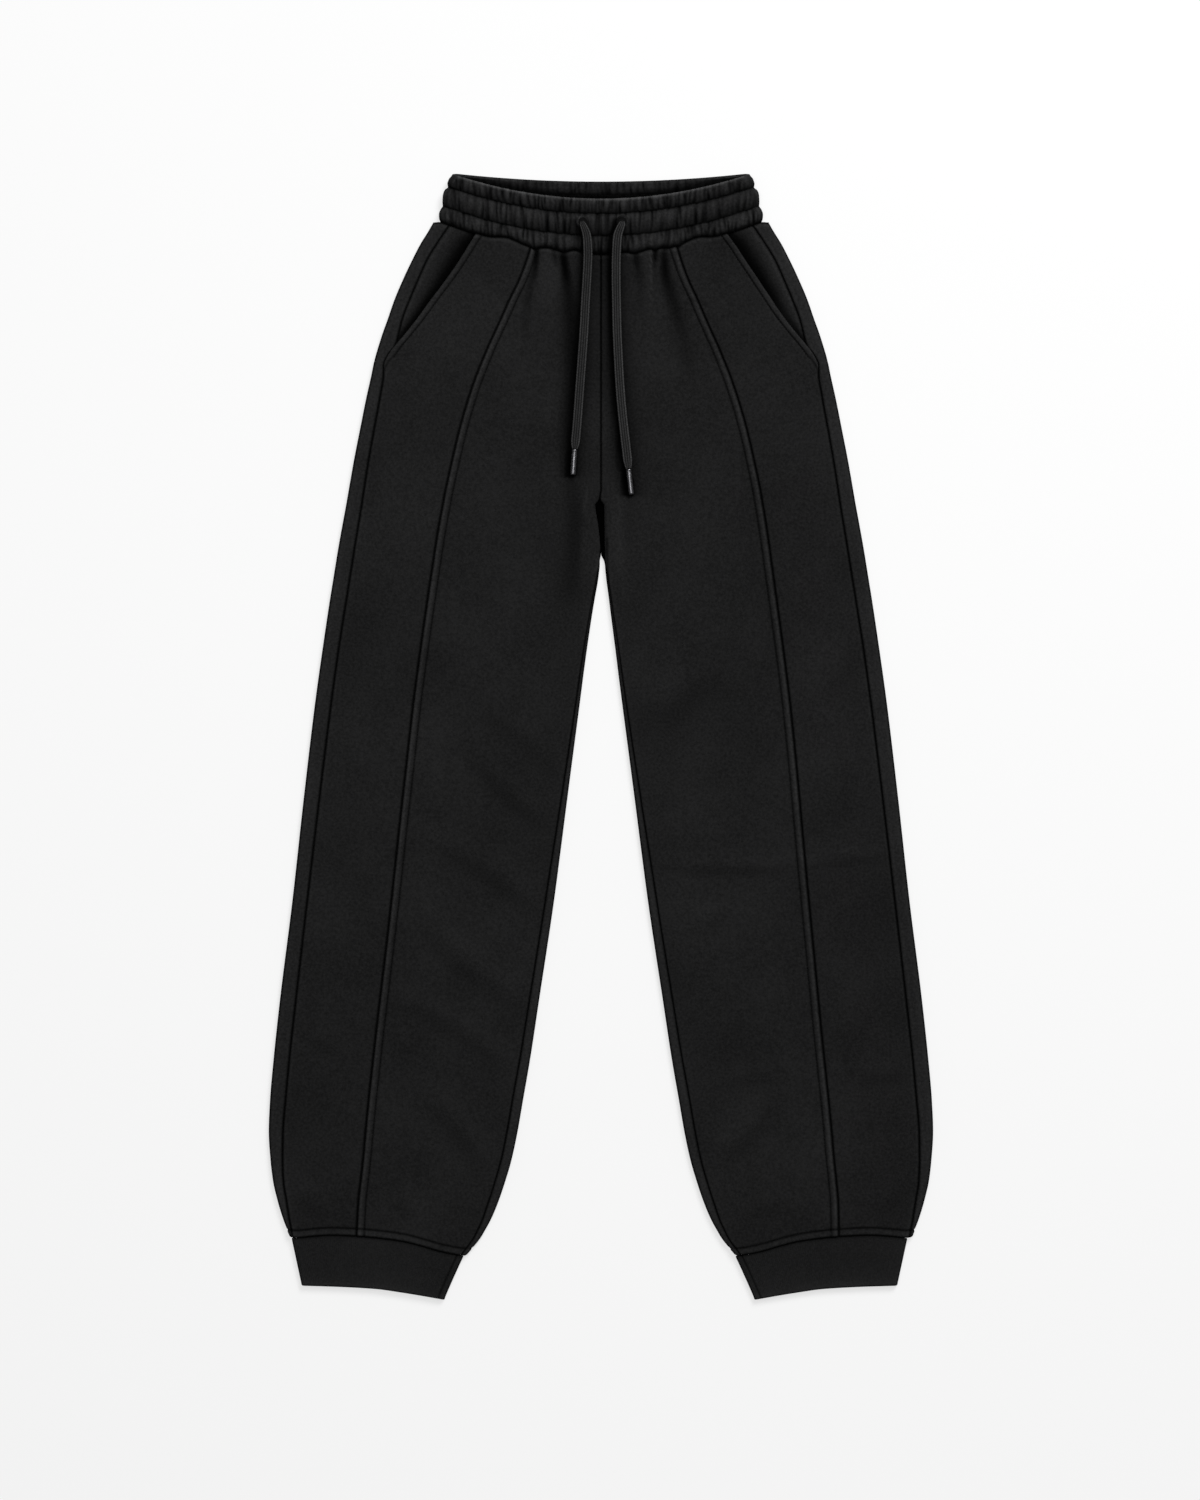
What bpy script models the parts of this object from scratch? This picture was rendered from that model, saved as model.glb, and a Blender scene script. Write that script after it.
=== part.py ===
"""Jogger sweatpants in brushed fleece, lying on their back, every cut piece its own closed wall.

The trousers lie flat on the XY plane, front up, waist towards +Y, and the wearer's left
leg is on +X. The origin is under the middle of the outline. Each leg is a flattened
tube: a back panel whose two folded edges come round to the top, and front panels that
close it between the inseam, the princess seam and the outseam. The tables below hold
one half of the outline in millimetres. The other half is its mirror image.
"""
import math
import random
from collections import namedtuple

import bmesh
import bpy
from mathutils import Vector

MM = 0.001                    # every size below is in millimetres

# Cloth and seams
CLOTH = 3.0                   # brushed fleece, thickness of one wall
SEAM_HALF_GAP = 0.15          # half of the space between two pieces at a seam
LEG_HEIGHT = 7.6              # flattened leg, floor to top, at its folded edges
WAIST_RISE = 2.3              # how much the panels climb to meet the waistband
RISE_START_Y = 420.0          # where that climb begins
WAIST_LINE_Y = 478.0          # and where it is complete
SETTLE_STEPS = 6              # tries at the point where a fanned row meets a line
CROWN = 0.7                   # how far the middle of a leg stands above its edges
SEAM_ALLOWANCE = 7.0          # width of the raised band between a seam and its topstitch
RIDGE_HEIGHT = 0.6            # how far that band is raised
GROOVE_DEPTH = 0.3            # how far the topstitch pulls the cloth in
ROLLED_EDGE = 0.4             # how far a seamed edge turns down
SHAPING = 10.0                # from a seamed edge to where the panel is plain again
SEAM_COLUMNS = (SHAPING, SEAM_ALLOWANCE, SEAM_ALLOWANCE / 2, 0.0)
SAME = 0.01                   # two distances closer than this are the same
TURN_END = 0.5                # a seam this near the end of the fold's turn lies on top
PRINCESS_SHOULDER = 3.0       # the side panel is plain again this far from the princess seam
RIDGE_ONSET = 25.0            # the side panel's raised band starts this far below the mouth
RIDGE_ONSET_RUN = 20.0        # and is complete after this much more
CENTRE_MIDDLE_COLUMNS = 7     # plain columns between the fold and the princess seam
SIDE_MIDDLE_COLUMNS = 4       # plain columns between the princess seam and the mouth
FOLD_STEP = 2.2               # spacing of the front's columns round the inner fold
FOLD_COLUMNS = 4
INNER_ARC_COLUMNS = 5         # columns of the back panel round the inner fold
FLOOR_COLUMNS = 3             # across the floor
OUTER_ARC_COLUMNS = 8         # and round the outer fold
CENTRE_BACK_STEP = 1.5        # spacing of the back's first columns at the centre-back seam
GATHER_FADE = 0.7             # how evenly a gather fades along its length

# Waistband: three sewn channels round a flattened ring
BAND_HALF_WIDTH = 152.0
BAND_STITCH_THICK = 4.2       # wall at a stitch row
BAND_PUFF = 1.8               # how much thicker it is at the middle of a channel
BAND_LIFT = 6.4               # underside of the front wall
BAND_FRONT_STITCH_Z = 10.8    # top of the front wall at a stitch row
BAND_FRONT_CREST_Z = 12.6     # and at the middle of a channel
BAND_INNER_PUFF = 0.85        # share of the puff that the inside of the back wall shows
BAND_INNER_RELIEF = 0.8       # and share of the gathers
BAND_STITCH_ROWS = (0.313, 0.718)   # height shares of the two rows between the channels
BAND_FOLD_REACH = 6.0         # outer width of the fold at each end
BAND_FOLD_INNER = 1.0         # inner width of the same fold
FRONT_GATHERS = 46
BACK_GATHERS = 40
FOLD_STEPS = 6                # columns round each end fold
GATHER_VALLEY = 1.1
GATHER_PEAK = 0.2
GATHER_SEED = 7
GATHER_DEPTHS = (0.45, 1.0)   # least and greatest share of the valley's depth
GATHER_SHIFT = 0.7            # how far a valley may lie to either side of its place

# Cuffs
CUFF_HEIGHT = 7.4
CUFF_WALL = 3.0
CUFF_FRONT_COLUMNS = 8
CUFF_BACK_COLUMNS = 4
CUFF_FOLD_COLUMNS = 5
CUFF_STEPS = (0.0, 0.35, 0.7, 0.94, 1.0)

# Pocket
MOUTH_LIFT = 2.0              # how far the mouth edge stands over the facing
MOUTH_LIFT_TOP = 1.2          # the same at the waist seam
MOUTH_TOP_Y = 473.0
MOUTH_END_Y = 369.0
LIFT_START_Y = 345.0          # where the front starts to rise towards the mouth
LIFT_RUN = 30.0               # and how far up it takes
FACING_WALL = 1.8
FACING_SINK = 0.2             # how far the facing lies below the panels beside it
FACING_SHARES = (0.0, 0.3, 0.62, 0.92)   # its columns from the outseam to the mouth
FACING_PUFFS = (0.0, 0.5, -0.3)          # how the columns that show stand out
FACING_EDGE = 1.0             # the facing's mouth column lies this far under the front
FACING_STEP_IN = 3.0          # and the next one this much further
FACING_OPENING = 10.0         # height over which the mouth opens from its lower end
FACING_TUCK = 14.0            # how far the facing runs in under the front

# Drawcord, tips and eyelets
CORD_WIDTH = 9.2
CORD_FLATTEN = 0.4            # thickness over width
CORD_STEP = 10.0
CORD_CLEAR = 0.3
CORD_REST = 9.0               # the cord comes down from the band over this length
CORD_BEVEL = 2                # gives the cord 8 sides
TIP_RADIUS = 2.9
TIP_LENGTH = 24.0
TIP_GAP = 0.9                 # between the cord's cut end and the tip
TIP_EASE = (0.6, 0.4)         # length and depth of the eased edge at the cord
TIP_NOSE = (1.2, 0.7)         # and at the free end
EYELET_OUTER = 6.2
EYELET_INNER = 3.6
EYELET_HEIGHT = 1.0
EYELET_EDGE = (0.3, 0.6)      # inset and height of the ring's outer edge
EYELET_LIP = (0.1, 0.7)       # inset and height of its inner edge
ROUND_SIDES = 16
SHARP_ANGLE = math.radians(40)   # edges sharper than this are not smoothed

# One row for each cross-section of the half: y along the leg, then distances from the
# centre line to the outer folded edge, the outseam on the back panel, the front panel's
# own outer edge (the pocket mouth, then the outseam), the princess seam and the inner
# folded edge. The last column is where the inseam lies, measured round the inner fold
# from the floor. In the rows of the body the inner edge is the centre-front seam.
Section = namedtuple("Section", "y fold_out outseam front_edge princess fold_in inseam")
BODY_FOLD_IN = -LEG_HEIGHT / 2
BODY_INSEAM = math.pi * LEG_HEIGHT / 2
SECTIONS = [
    Section(484.0, 158.3, 141.1, 111.4, 61.7, BODY_FOLD_IN, BODY_INSEAM),
    Section(475.0, 163.5, 147.4, 117.2, 64.4, BODY_FOLD_IN, BODY_INSEAM),
    Section(466.0, 169.2, 153.4, 122.8, 67.4, BODY_FOLD_IN, BODY_INSEAM),
    Section(449.0, 178.1, 163.9, 133.5, 72.8, BODY_FOLD_IN, BODY_INSEAM),
    Section(430.0, 187.1, 172.6, 146.6, 79.9, BODY_FOLD_IN, BODY_INSEAM),
    Section(412.0, 194.7, 180.2, 160.2, 88.5, BODY_FOLD_IN, BODY_INSEAM),
    Section(393.0, 201.3, 187.8, 175.6, 96.8, BODY_FOLD_IN, BODY_INSEAM),
    Section(380.0, 206.0, 191.6, 186.3, 102.7, BODY_FOLD_IN, BODY_INSEAM),
    Section(369.0, 209.5, 195.4, 195.4, 107.8, BODY_FOLD_IN, BODY_INSEAM),
    Section(360.0, 212.2, 202.0, 202.0, 111.6, BODY_FOLD_IN, BODY_INSEAM),
    Section(350.0, 214.7, 204.8, 204.8, 115.7, BODY_FOLD_IN, BODY_INSEAM),
    Section(341.0, 216.5, 205.1, 205.1, 119.3, BODY_FOLD_IN, BODY_INSEAM),
    Section(318.0, 221.6, 208.7, 208.7, 127.2, BODY_FOLD_IN, BODY_INSEAM),
    Section(290.0, 227.2, 213.8, 213.8, 135.3, BODY_FOLD_IN, BODY_INSEAM),
    Section(262.0, 232.7, 218.8, 218.8, 141.9, BODY_FOLD_IN, BODY_INSEAM),
    Section(232.0, 238.0, 223.5, 223.5, 148.3, BODY_FOLD_IN, BODY_INSEAM),
    Section(227.0, 238.8, 224.2, 224.2, 149.3, -0.5, 9.0),
    Section(222.0, 239.7, 224.9, 224.9, 150.2, 3.8, 5.44),
    Section(198.0, 244.1, 228.9, 228.9, 154.4, 2.7, 5.44),
    Section(173.0, 248.5, 233.0, 233.0, 158.2, 1.9, 5.44),
    Section(165.0, 249.8, 234.2, 234.2, 159.3, 2.2, 6.5),
    Section(150.0, 252.2, 236.7, 236.7, 161.5, 3.9, 9.6),
    Section(129.0, 255.6, 240.0, 240.0, 164.5, 6.8, 9.99),
    Section(82.0, 262.6, 247.4, 247.4, 171.0, 13.4, 11.1),
    Section(34.0, 269.3, 254.0, 254.0, 177.2, 19.6, 11.9),
    Section(-60.0, 280.5, 265.7, 265.7, 187.2, 31.9, 13.9),
    Section(-154.0, 290.9, 276.8, 276.8, 196.6, 44.1, 16.4),
    Section(-249.0, 302.8, 287.7, 287.7, 206.7, 58.4, 17.3),
    Section(-305.0, 308.8, 293.9, 293.9, 212.7, 66.9, 17.9),
    Section(-343.0, 312.1, 297.4, 297.4, 216.8, 73.5, 18.2),
    Section(-372.0, 313.3, 299.8, 299.8, 219.6, 78.5, 18.2),
    Section(-400.0, 311.6, 300.2, 300.2, 222.1, 84.5, 18.0),
    Section(-419.0, 309.3, 299.4, 299.4, 224.2, 90.1, 17.8),
    Section(-438.0, 304.9, 296.5, 296.5, 226.1, 96.5, 17.5),
    Section(-457.0, 299.0, 292.7, 292.7, 226.9, 104.5, 16.03),
    Section(-464.5, 296.0, 291.0, 291.0, 227.1, 108.7, 15.36),
    Section(-468.5, 294.3, 290.2, 290.2, 227.2, 111.0, 15.02),
    Section(-472.0, 292.7, 289.4, 289.4, 227.3, 113.0, 14.77),
    Section(-490.0, 286.5, 284.6, 284.6, 227.7, 128.0, 13.1),
]
HEM_ROWS = {-464.5: -GROOVE_DEPTH, -468.5: RIDGE_HEIGHT, -472.0: -ROLLED_EDGE}
TOP_Y = SECTIONS[0].y
BOTTOM_Y = SECTIONS[-2].y
HIP_Y = 400.0                 # above it the rows fan out to the curved waist seam
CALF_Y = -400.0               # below it they fan out to the curved cuff seam
CROTCH_FRONT_Y = 232.0        # lowest point of the closed centre-front seam
CROTCH_BACK_Y = 173.0         # lowest point of the centre-back seam

# Both princess seams lie a little askew: y along the leg, and how far they are towards +X
Skew = namedtuple("Skew", "y x")
PRINCESS_SKEW = [Skew(484.0, 2.8), Skew(374.0, 2.1), Skew(261.0, 1.9), Skew(148.0, 1.0),
                 Skew(-22.0, 0.3), Skew(-192.0, -1.2), Skew(-305.0, -2.3), Skew(-472.0, -3.2)]

# Curves across the half: distance from the centre line, then y
Point = namedtuple("Point", "x y")
CUFF_SEAM = [Point(127, -489.7), Point(135, -488.7), Point(152, -485.2), Point(169, -480.2),
             Point(186, -476.0), Point(211, -472.6), Point(230, -471.0), Point(254, -470.1),
             Point(271, -471.1), Point(288, -472.6), Point(295, -472.2)]
CUFF_HEM = [Point(146, -531.3), Point(169, -527.2), Point(186, -524.4), Point(211, -520.9),
            Point(245, -518.9), Point(281, -517.7)]
CUFF_TOP_SPAN = (128.0, 290.5)
CUFF_HEM_SPAN = (146.5, 280.8)

# Waist curves, y = middle + bow * (x / BAND_HALF_WIDTH) squared
Bow = namedtuple("Bow", "middle bow")
WAIST_SEAM_FRONT = Bow(455.1, 30.2)
WAIST_SEAM_BACK = Bow(475.5, 10.2)
BAND_TOP_FRONT = Bow(506.6, 27.4)
BAND_TOP_BACK = Bow(523.4, 9.2)
SEAM_FLATTENS_AT = 150.0      # past this the waist seam stops climbing

# Rows up the waistband: height share, half-width, puff of the channel, gather depth share
BandRow = namedtuple("BandRow", "height half_width puff gather")
BAND_OUTER = [BandRow(0.0, 151.4, 0.3, 0.3), BandRow(0.10, 152.5, 0.9, 1.0),
              BandRow(0.22, 151.5, 0.9, 1.0), BandRow(BAND_STITCH_ROWS[0], 149.2, 0.0, 0.25),
              BandRow(0.42, 149.5, 0.9, 1.0), BandRow(0.61, 147.7, 0.95, 1.0),
              BandRow(BAND_STITCH_ROWS[1], 144.4, 0.0, 0.25), BandRow(0.82, 144.0, 0.9, 1.0),
              BandRow(0.93, 141.4, 0.8, 0.8)]
BAND_RIM = BandRow(1.0, 137.8, 0.4, 0.3)
BAND_INNER = [BandRow(0.93, 140.6, 0.6, 0.6), BandRow(0.86, 142.6, 0.9, 1.0),
              BandRow(BAND_STITCH_ROWS[1], 144.4, 0.0, 0.25), BandRow(0.0, 151.0, 0.5, 0.0)]

# Gathers and puffs under the waistband: where each starts at the seam and runs out below,
# its half-width, and its height (a trough is negative). x is signed, +X is the wearer's left.
Gather = namedtuple("Gather", "top_x top_y end_x end_y half_width height")
GATHERS = [Gather(-60.5, 458.0, -68.0, 402.0, 5.0, -1.2), Gather(-33.0, 458.0, -28.0, 380.0, 8.0, -1.6),
           Gather(-28.0, 400.0, -26.0, 150.0, 9.0, -0.9), Gather(-49.0, 458.0, -50.0, 400.0, 8.0, 1.0),
           Gather(-17.0, 456.0, -14.0, 410.0, 8.0, 0.6), Gather(-90.0, 466.0, -96.0, 415.0, 15.0, 1.2),
           Gather(35.0, 457.0, 38.0, 430.0, 4.5, -1.0), Gather(45.0, 458.0, 46.0, 405.0, 6.0, 0.9),
           Gather(52.6, 459.0, 51.0, 436.0, 4.5, -1.2), Gather(60.5, 461.0, 78.0, 370.0, 6.5, -1.4),
           Gather(18.0, 456.0, 16.0, 412.0, 8.0, 0.6), Gather(90.0, 466.0, 96.0, 415.0, 15.0, 1.2)]

# Drawcord routes by hand: x, y, and how far the underside of the cord is above the cloth
Lay = namedtuple("Lay", "x y lift width")
EYELET_Y = 484.3
EYELETS = {"right": -17.3, "left": 20.2}
CORDS = {
    "right": [Lay(-17.8, 484.4, 0.5, 0.40), Lay(-17.2, 482.0, 1.7, 0.66), Lay(-15.6, 478.2, 1.7, 0.80),
              Lay(-14.0, 474.1, 0.7, 0.92), Lay(-13.1, 469.9, 0.3, 0.96), Lay(-12.4, 461.1, 0.3, 1.0),
              Lay(-12.3, 449.8, 0.4, 1.0), Lay(-13.2, 430.9, 0.3, 1.0), Lay(-14.4, 412.1, 0.3, 1.0),
              Lay(-15.9, 383.7, 0.3, 1.0), Lay(-17.5, 360.1, 0.3, 1.0), Lay(-19.3, 336.5, 0.3, 1.0),
              Lay(-21.3, 309.2, 0.3, 1.0), Lay(-22.7, 291.6, 0.3, 1.0), Lay(-24.0, 277.5, 0.6, 1.0),
              Lay(-24.7, 270.7, 2.3, 0.6)],
    "left": [Lay(20.0, 484.4, 0.5, 0.44), Lay(19.7, 482.0, 1.7, 0.74), Lay(18.2, 478.2, 1.7, 0.88),
             Lay(16.6, 474.1, 0.7, 0.95), Lay(15.6, 469.9, 0.3, 1.0), Lay(14.9, 461.1, 0.3, 1.0),
             Lay(14.4, 449.8, 0.4, 1.0), Lay(14.3, 430.9, 0.3, 1.0), Lay(14.6, 412.1, 0.3, 1.0),
             Lay(15.2, 383.7, 0.3, 1.0), Lay(16.2, 360.1, 0.3, 1.0), Lay(17.5, 336.5, 0.3, 1.0),
             Lay(18.9, 317.7, 0.3, 1.0), Lay(20.7, 298.8, 0.3, 1.0), Lay(23.2, 277.0, 0.3, 1.0),
             Lay(25.1, 260.5, 0.6, 1.0), Lay(26.0, 252.2, 2.3, 0.6)],
}
TIP_HEADINGS = {"right": Vector((-1.6, -25.0, 0.0)), "left": Vector((2.9, -25.0, 0.0))}

# Materials: linear colour, roughness, metallic
Finish = namedtuple("Finish", "colour roughness metallic")
FLEECE = Finish((0.012, 0.012, 0.0125), 0.95, 0.0)
RIB_KNIT = Finish((0.010, 0.010, 0.0105), 0.95, 0.0)
CORD_BRAID = Finish((0.021, 0.021, 0.022), 0.85, 0.0)
EYELET_THREAD = Finish((0.014, 0.014, 0.0145), 0.8, 0.0)
GUNMETAL = Finish((0.16, 0.16, 0.17), 0.28, 1.0)


def smoothstep(value):
    """Ease from 0 to 1 as value runs from 0 to 1."""
    value = min(1.0, max(0.0, value))
    return value * value * (3.0 - 2.0 * value)


def between(rows, key, at, name):
    """Read column `name` of `rows` at `at`, straight between the two rows that hold it."""
    ordered = sorted(rows, key=lambda row: getattr(row, key))
    at = min(getattr(ordered[-1], key), max(getattr(ordered[0], key), at))
    for low, high in zip(ordered, ordered[1:]):
        start, end = getattr(low, key), getattr(high, key)
        if at <= end:
            share = (at - start) / (end - start)
            return getattr(low, name) * (1.0 - share) + getattr(high, name) * share
    return getattr(ordered[-1], name)


def section_value(name, y):
    """A column of the section table at height y along the leg."""
    return between(SECTIONS, "y", y, name)


def princess_x(y, side):
    """Distance of a princess seam from the centre line."""
    return section_value("princess", y) + side * between(PRINCESS_SKEW, "y", y, "x")


def bow_y(bow, x):
    """A waist curve at distance x from the centre line."""
    reach = min(abs(x), SEAM_FLATTENS_AT)
    return bow.middle + bow.bow * (reach / BAND_HALF_WIDTH) ** 2


def blended_bow(back, front, share, x):
    """The waist curve between the back wall (share 0) and the front wall (share 1)."""
    return bow_y(back, x) * (1.0 - share) + bow_y(front, x) * share


def cuff_seam_y(x, front_share):
    """The cuff seam: bowed on the front, straight across the back."""
    start, end = CUFF_SEAM[0], CUFF_SEAM[-1]
    straight = start.y + (end.y - start.y) * (x - start.x) / (end.x - start.x)
    return straight + (between(CUFF_SEAM, "x", x, "y") - straight) * front_share


def row_to_y(row_y, x, front_share=1.0):
    """Fan the straight rows out so that the first and last lie on the waist and cuff seams."""
    if row_y > HIP_Y:
        end = blended_bow(WAIST_SEAM_BACK, WAIST_SEAM_FRONT, front_share, x) - SEAM_HALF_GAP
        return HIP_Y + (row_y - HIP_Y) / (TOP_Y - HIP_Y) * (end - HIP_Y)
    if row_y < CALF_Y:
        end = cuff_seam_y(x, front_share) + SEAM_HALF_GAP
        return CALF_Y + (row_y - CALF_Y) / (BOTTOM_Y - CALF_Y) * (end - CALF_Y)
    return row_y


def settle(row_y, find_x, front_share=1.0):
    """Find the point where a fanned row meets a line whose x depends on y."""
    y = row_y
    for _ in range(SETTLE_STEPS):
        y = row_to_y(row_y, find_x(y), front_share)
    return find_x(y), y


def edge_height(y):
    """Height of the flattened leg at its folded edges."""
    climb = smoothstep((y - RISE_START_Y) / (WAIST_LINE_Y - RISE_START_Y))
    return LEG_HEIGHT + WAIST_RISE * climb


def distance_along(gather, x, y):
    """Distance from (x, y) to a gather's line, and the share of its length reached."""
    start = Vector((gather.top_x, gather.top_y))
    run = Vector((gather.end_x, gather.end_y)) - start
    share = (Vector((x, y)) - start).dot(run) / run.length_squared
    nearest = start + run * min(1.0, max(0.0, share))
    return (Vector((x, y)) - nearest).length, min(1.0, max(0.0, share))


def gather_height(x, y):
    """Sum of the gathers and puffs under the waistband at (x, y), x signed."""
    total = 0.0
    for gather in GATHERS:
        distance, share = distance_along(gather, x, y)
        profile = math.exp(-(distance / gather.half_width) ** 2)
        total += gather.height * profile * (1.0 - share) ** GATHER_FADE
    return total


def front_top(x, y, side):
    """Top of the cloth on the upper side of the trousers; x counts from the centre line."""
    radius = edge_height(y) / 2
    inner = max(0.0, inner_edge(y) + radius)
    outer = section_value("fold_out", y) - radius
    middle, half = (inner + outer) / 2, (outer - inner) / 2
    crown = CROWN * max(0.0, 1.0 - ((x - middle) / half) ** 2)
    return edge_height(y) + crown + gather_height(x * side, y)


def mouth_lift(y):
    """How far the front stands over the pocket facing at the mouth edge."""
    closing = smoothstep((y - LIFT_START_Y) / LIFT_RUN)
    opening = smoothstep((y - HIP_Y) / (MOUTH_TOP_Y - HIP_Y))
    return closing * (MOUTH_LIFT + (MOUTH_LIFT_TOP - MOUTH_LIFT) * opening)


def inner_edge(y):
    """The inner folded edge; in the body it is set so that the turn ends on the centre line."""
    return -edge_height(y) / 2 if y >= CROTCH_FRONT_Y else section_value("fold_in", y)


def inseam_turn(y):
    """Where the inseam, or in the body the centre-front seam, lies round the inner fold."""
    return math.pi * edge_height(y) / 2 if y >= CROTCH_FRONT_Y else section_value("inseam", y)


def turn_share(s, y):
    """How far round from the floor (0) to the top (1) a point at arc length s is."""
    angle = min(math.pi, max(0.0, s) / (edge_height(y) / 2))
    return (1.0 - math.cos(angle)) / 2


def inner_fold(s, y, side):
    """Outer and inner surface points at arc length s round the leg's inner folded edge.

    s is 0 where the fold leaves the floor, and past the half turn it runs on over the top.
    """
    radius = edge_height(y) / 2
    edge = inner_edge(y)
    half_turn = math.pi * radius
    if s <= half_turn:
        angle = max(0.0, s) / radius
        centre = Vector((edge + radius, radius))
        normal = Vector((-math.sin(angle), -math.cos(angle)))
        outer = centre + normal * radius
        return outer, outer - normal * CLOTH
    x = edge + radius + s - half_turn
    z = front_top(x, y, side)
    return Vector((x, z)), Vector((x, z - CLOTH))


def outer_fold(s, y, side):
    """The same as inner_fold, round the leg's outer folded edge."""
    radius = edge_height(y) / 2
    edge = section_value("fold_out", y)
    half_turn = math.pi * radius
    if s <= half_turn:
        angle = s / radius
        centre = Vector((edge - radius, radius))
        normal = Vector((math.sin(angle), -math.cos(angle)))
        outer = centre + normal * radius
        return outer, outer - normal * CLOTH
    x = edge - radius - (s - half_turn)
    z = front_top(x, y, side)
    return Vector((x, z)), Vector((x, z - CLOTH))


def seam_shape(distance, raised):
    """Height change at a distance from a seamed edge: rolled, then raised to the topstitch."""
    if distance <= SAME:
        return -ROLLED_EDGE
    if distance < SEAM_ALLOWANCE:
        return RIDGE_HEIGHT * raised
    if distance <= SEAM_ALLOWANCE + SAME:
        return -GROOVE_DEPTH * raised
    return 0.0


def make_material(name, finish):
    """A plain Principled material."""
    material = bpy.data.materials.new(name)
    material.use_nodes = True
    shader = material.node_tree.nodes["Principled BSDF"]
    shader.inputs["Base Color"].default_value = (*finish.colour, 1.0)
    shader.inputs["Roughness"].default_value = finish.roughness
    shader.inputs["Metallic"].default_value = finish.metallic
    material.diffuse_color = (*finish.colour, 1.0)
    return material


def finish_mesh(name, bm, material):
    """Turn a closed bmesh into a named, smooth-shaded object with its faces pointing out."""
    bmesh.ops.recalc_face_normals(bm, faces=bm.faces)
    mesh = bpy.data.meshes.new(name)
    bm.to_mesh(mesh)
    bm.free()
    mesh.materials.append(material)
    mesh.shade_smooth()
    mesh.set_sharp_from_angle(angle=SHARP_ANGLE)
    piece = bpy.data.objects.new(name, mesh)
    bpy.context.scene.collection.objects.link(piece)
    return piece


def grid_vertices(bm, rows):
    """Add a grid of points given in millimetres and return its vertices."""
    return [[bm.verts.new(point * MM) for point in row] for row in rows]


def close_wall(name, outer, inner, material):
    """Make a wall between two equal grids of points, closed round its four edges."""
    bm = bmesh.new()
    upper, lower = grid_vertices(bm, outer), grid_vertices(bm, inner)
    last_row, last_column = len(upper) - 1, len(upper[0]) - 1
    for r in range(last_row):
        for c in range(last_column):
            bm.faces.new((upper[r][c], upper[r][c + 1], upper[r + 1][c + 1], upper[r + 1][c]))
            bm.faces.new((lower[r][c], lower[r + 1][c], lower[r + 1][c + 1], lower[r][c + 1]))
        for c in (0, last_column):
            bm.faces.new((upper[r][c], upper[r + 1][c], lower[r + 1][c], lower[r][c]))
    for c in range(last_column):
        for r in (0, last_row):
            bm.faces.new((upper[r][c], upper[r][c + 1], lower[r][c + 1], lower[r][c]))
    return finish_mesh(name, bm, material)


def close_ring(name, columns, material):
    """Make a ring from closed loops of points, one loop for each column round it."""
    bm = bmesh.new()
    loops = grid_vertices(bm, columns)
    count = len(loops[0])
    for here, there in zip(loops, loops[1:] + loops[:1]):
        for i in range(count):
            j = (i + 1) % count
            bm.faces.new((here[i], here[j], there[j], there[i]))
    return finish_mesh(name, bm, material)


def place(point, y, side):
    """A cross-section point (x, z) as a point in space, mirrored for the other half."""
    return Vector((point.x * side, y, point.y))


def hem_offset(row_y):
    """Height change of the rows of the raised band along the cuff seam."""
    return HEM_ROWS.get(row_y, 0.0)


def panel_rows():
    """The y of each mesh row, from the waist seam to the cuff seam."""
    return [section.y for section in SECTIONS[:-1]]


def front_point(row_y, find_x, side, offset):
    """Top and underside of a front panel at a row, offset in height."""
    x, y = settle(row_y, find_x)
    z = front_top(x, y, side) + offset + hem_offset(row_y)
    return Vector((x * side, y, z)), Vector((x * side, y, z - CLOTH))


def front_fold_points(row_y, side):
    """The first columns of a front centre panel, from the inseam round to the top."""
    points = []
    for k in range(FOLD_COLUMNS):
        def find_x(y, k=k):
            s = inseam_turn(y) + SEAM_HALF_GAP + FOLD_STEP * k
            return inner_fold(s, y, side)[0].x
        _, y = settle(row_y, find_x)
        s = inseam_turn(y) + SEAM_HALF_GAP + FOLD_STEP * k
        outer, inner = inner_fold(s, y, side)
        on_top = s > math.pi * edge_height(y) / 2 - TURN_END
        drop = ROLLED_EDGE if k == 0 and on_top else 0.0
        shift = Vector((0.0, hem_offset(row_y) - drop))
        points.append((place(outer + shift, y, side), place(inner + shift, y, side)))
    return points


def make_front_centre(name, side, material):
    """Front centre panel: inseam and centre-front seam to the princess seam."""
    outer, inner = [], []
    for row_y in panel_rows():
        pairs = front_fold_points(row_y, side)
        start_x = abs(pairs[-1][0].x)

        def seam_x(y, distance):
            return princess_x(y, side) - SEAM_HALF_GAP - distance

        ridge_x = settle(row_y, lambda y: seam_x(y, SHAPING))[0]
        for k in range(1, CENTRE_MIDDLE_COLUMNS + 1):
            x = start_x + (ridge_x - start_x) * k / (CENTRE_MIDDLE_COLUMNS + 1)
            pairs.append(front_point(row_y, lambda y, x=x: x, side, 0.0))
        for distance in SEAM_COLUMNS:
            offset = seam_shape(distance, 1.0)
            pairs.append(front_point(row_y, lambda y, d=distance: seam_x(y, d), side, offset))
        outer.append([pair[0] for pair in pairs])
        inner.append([pair[1] for pair in pairs])
    return close_wall(name, outer, inner, material)


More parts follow.
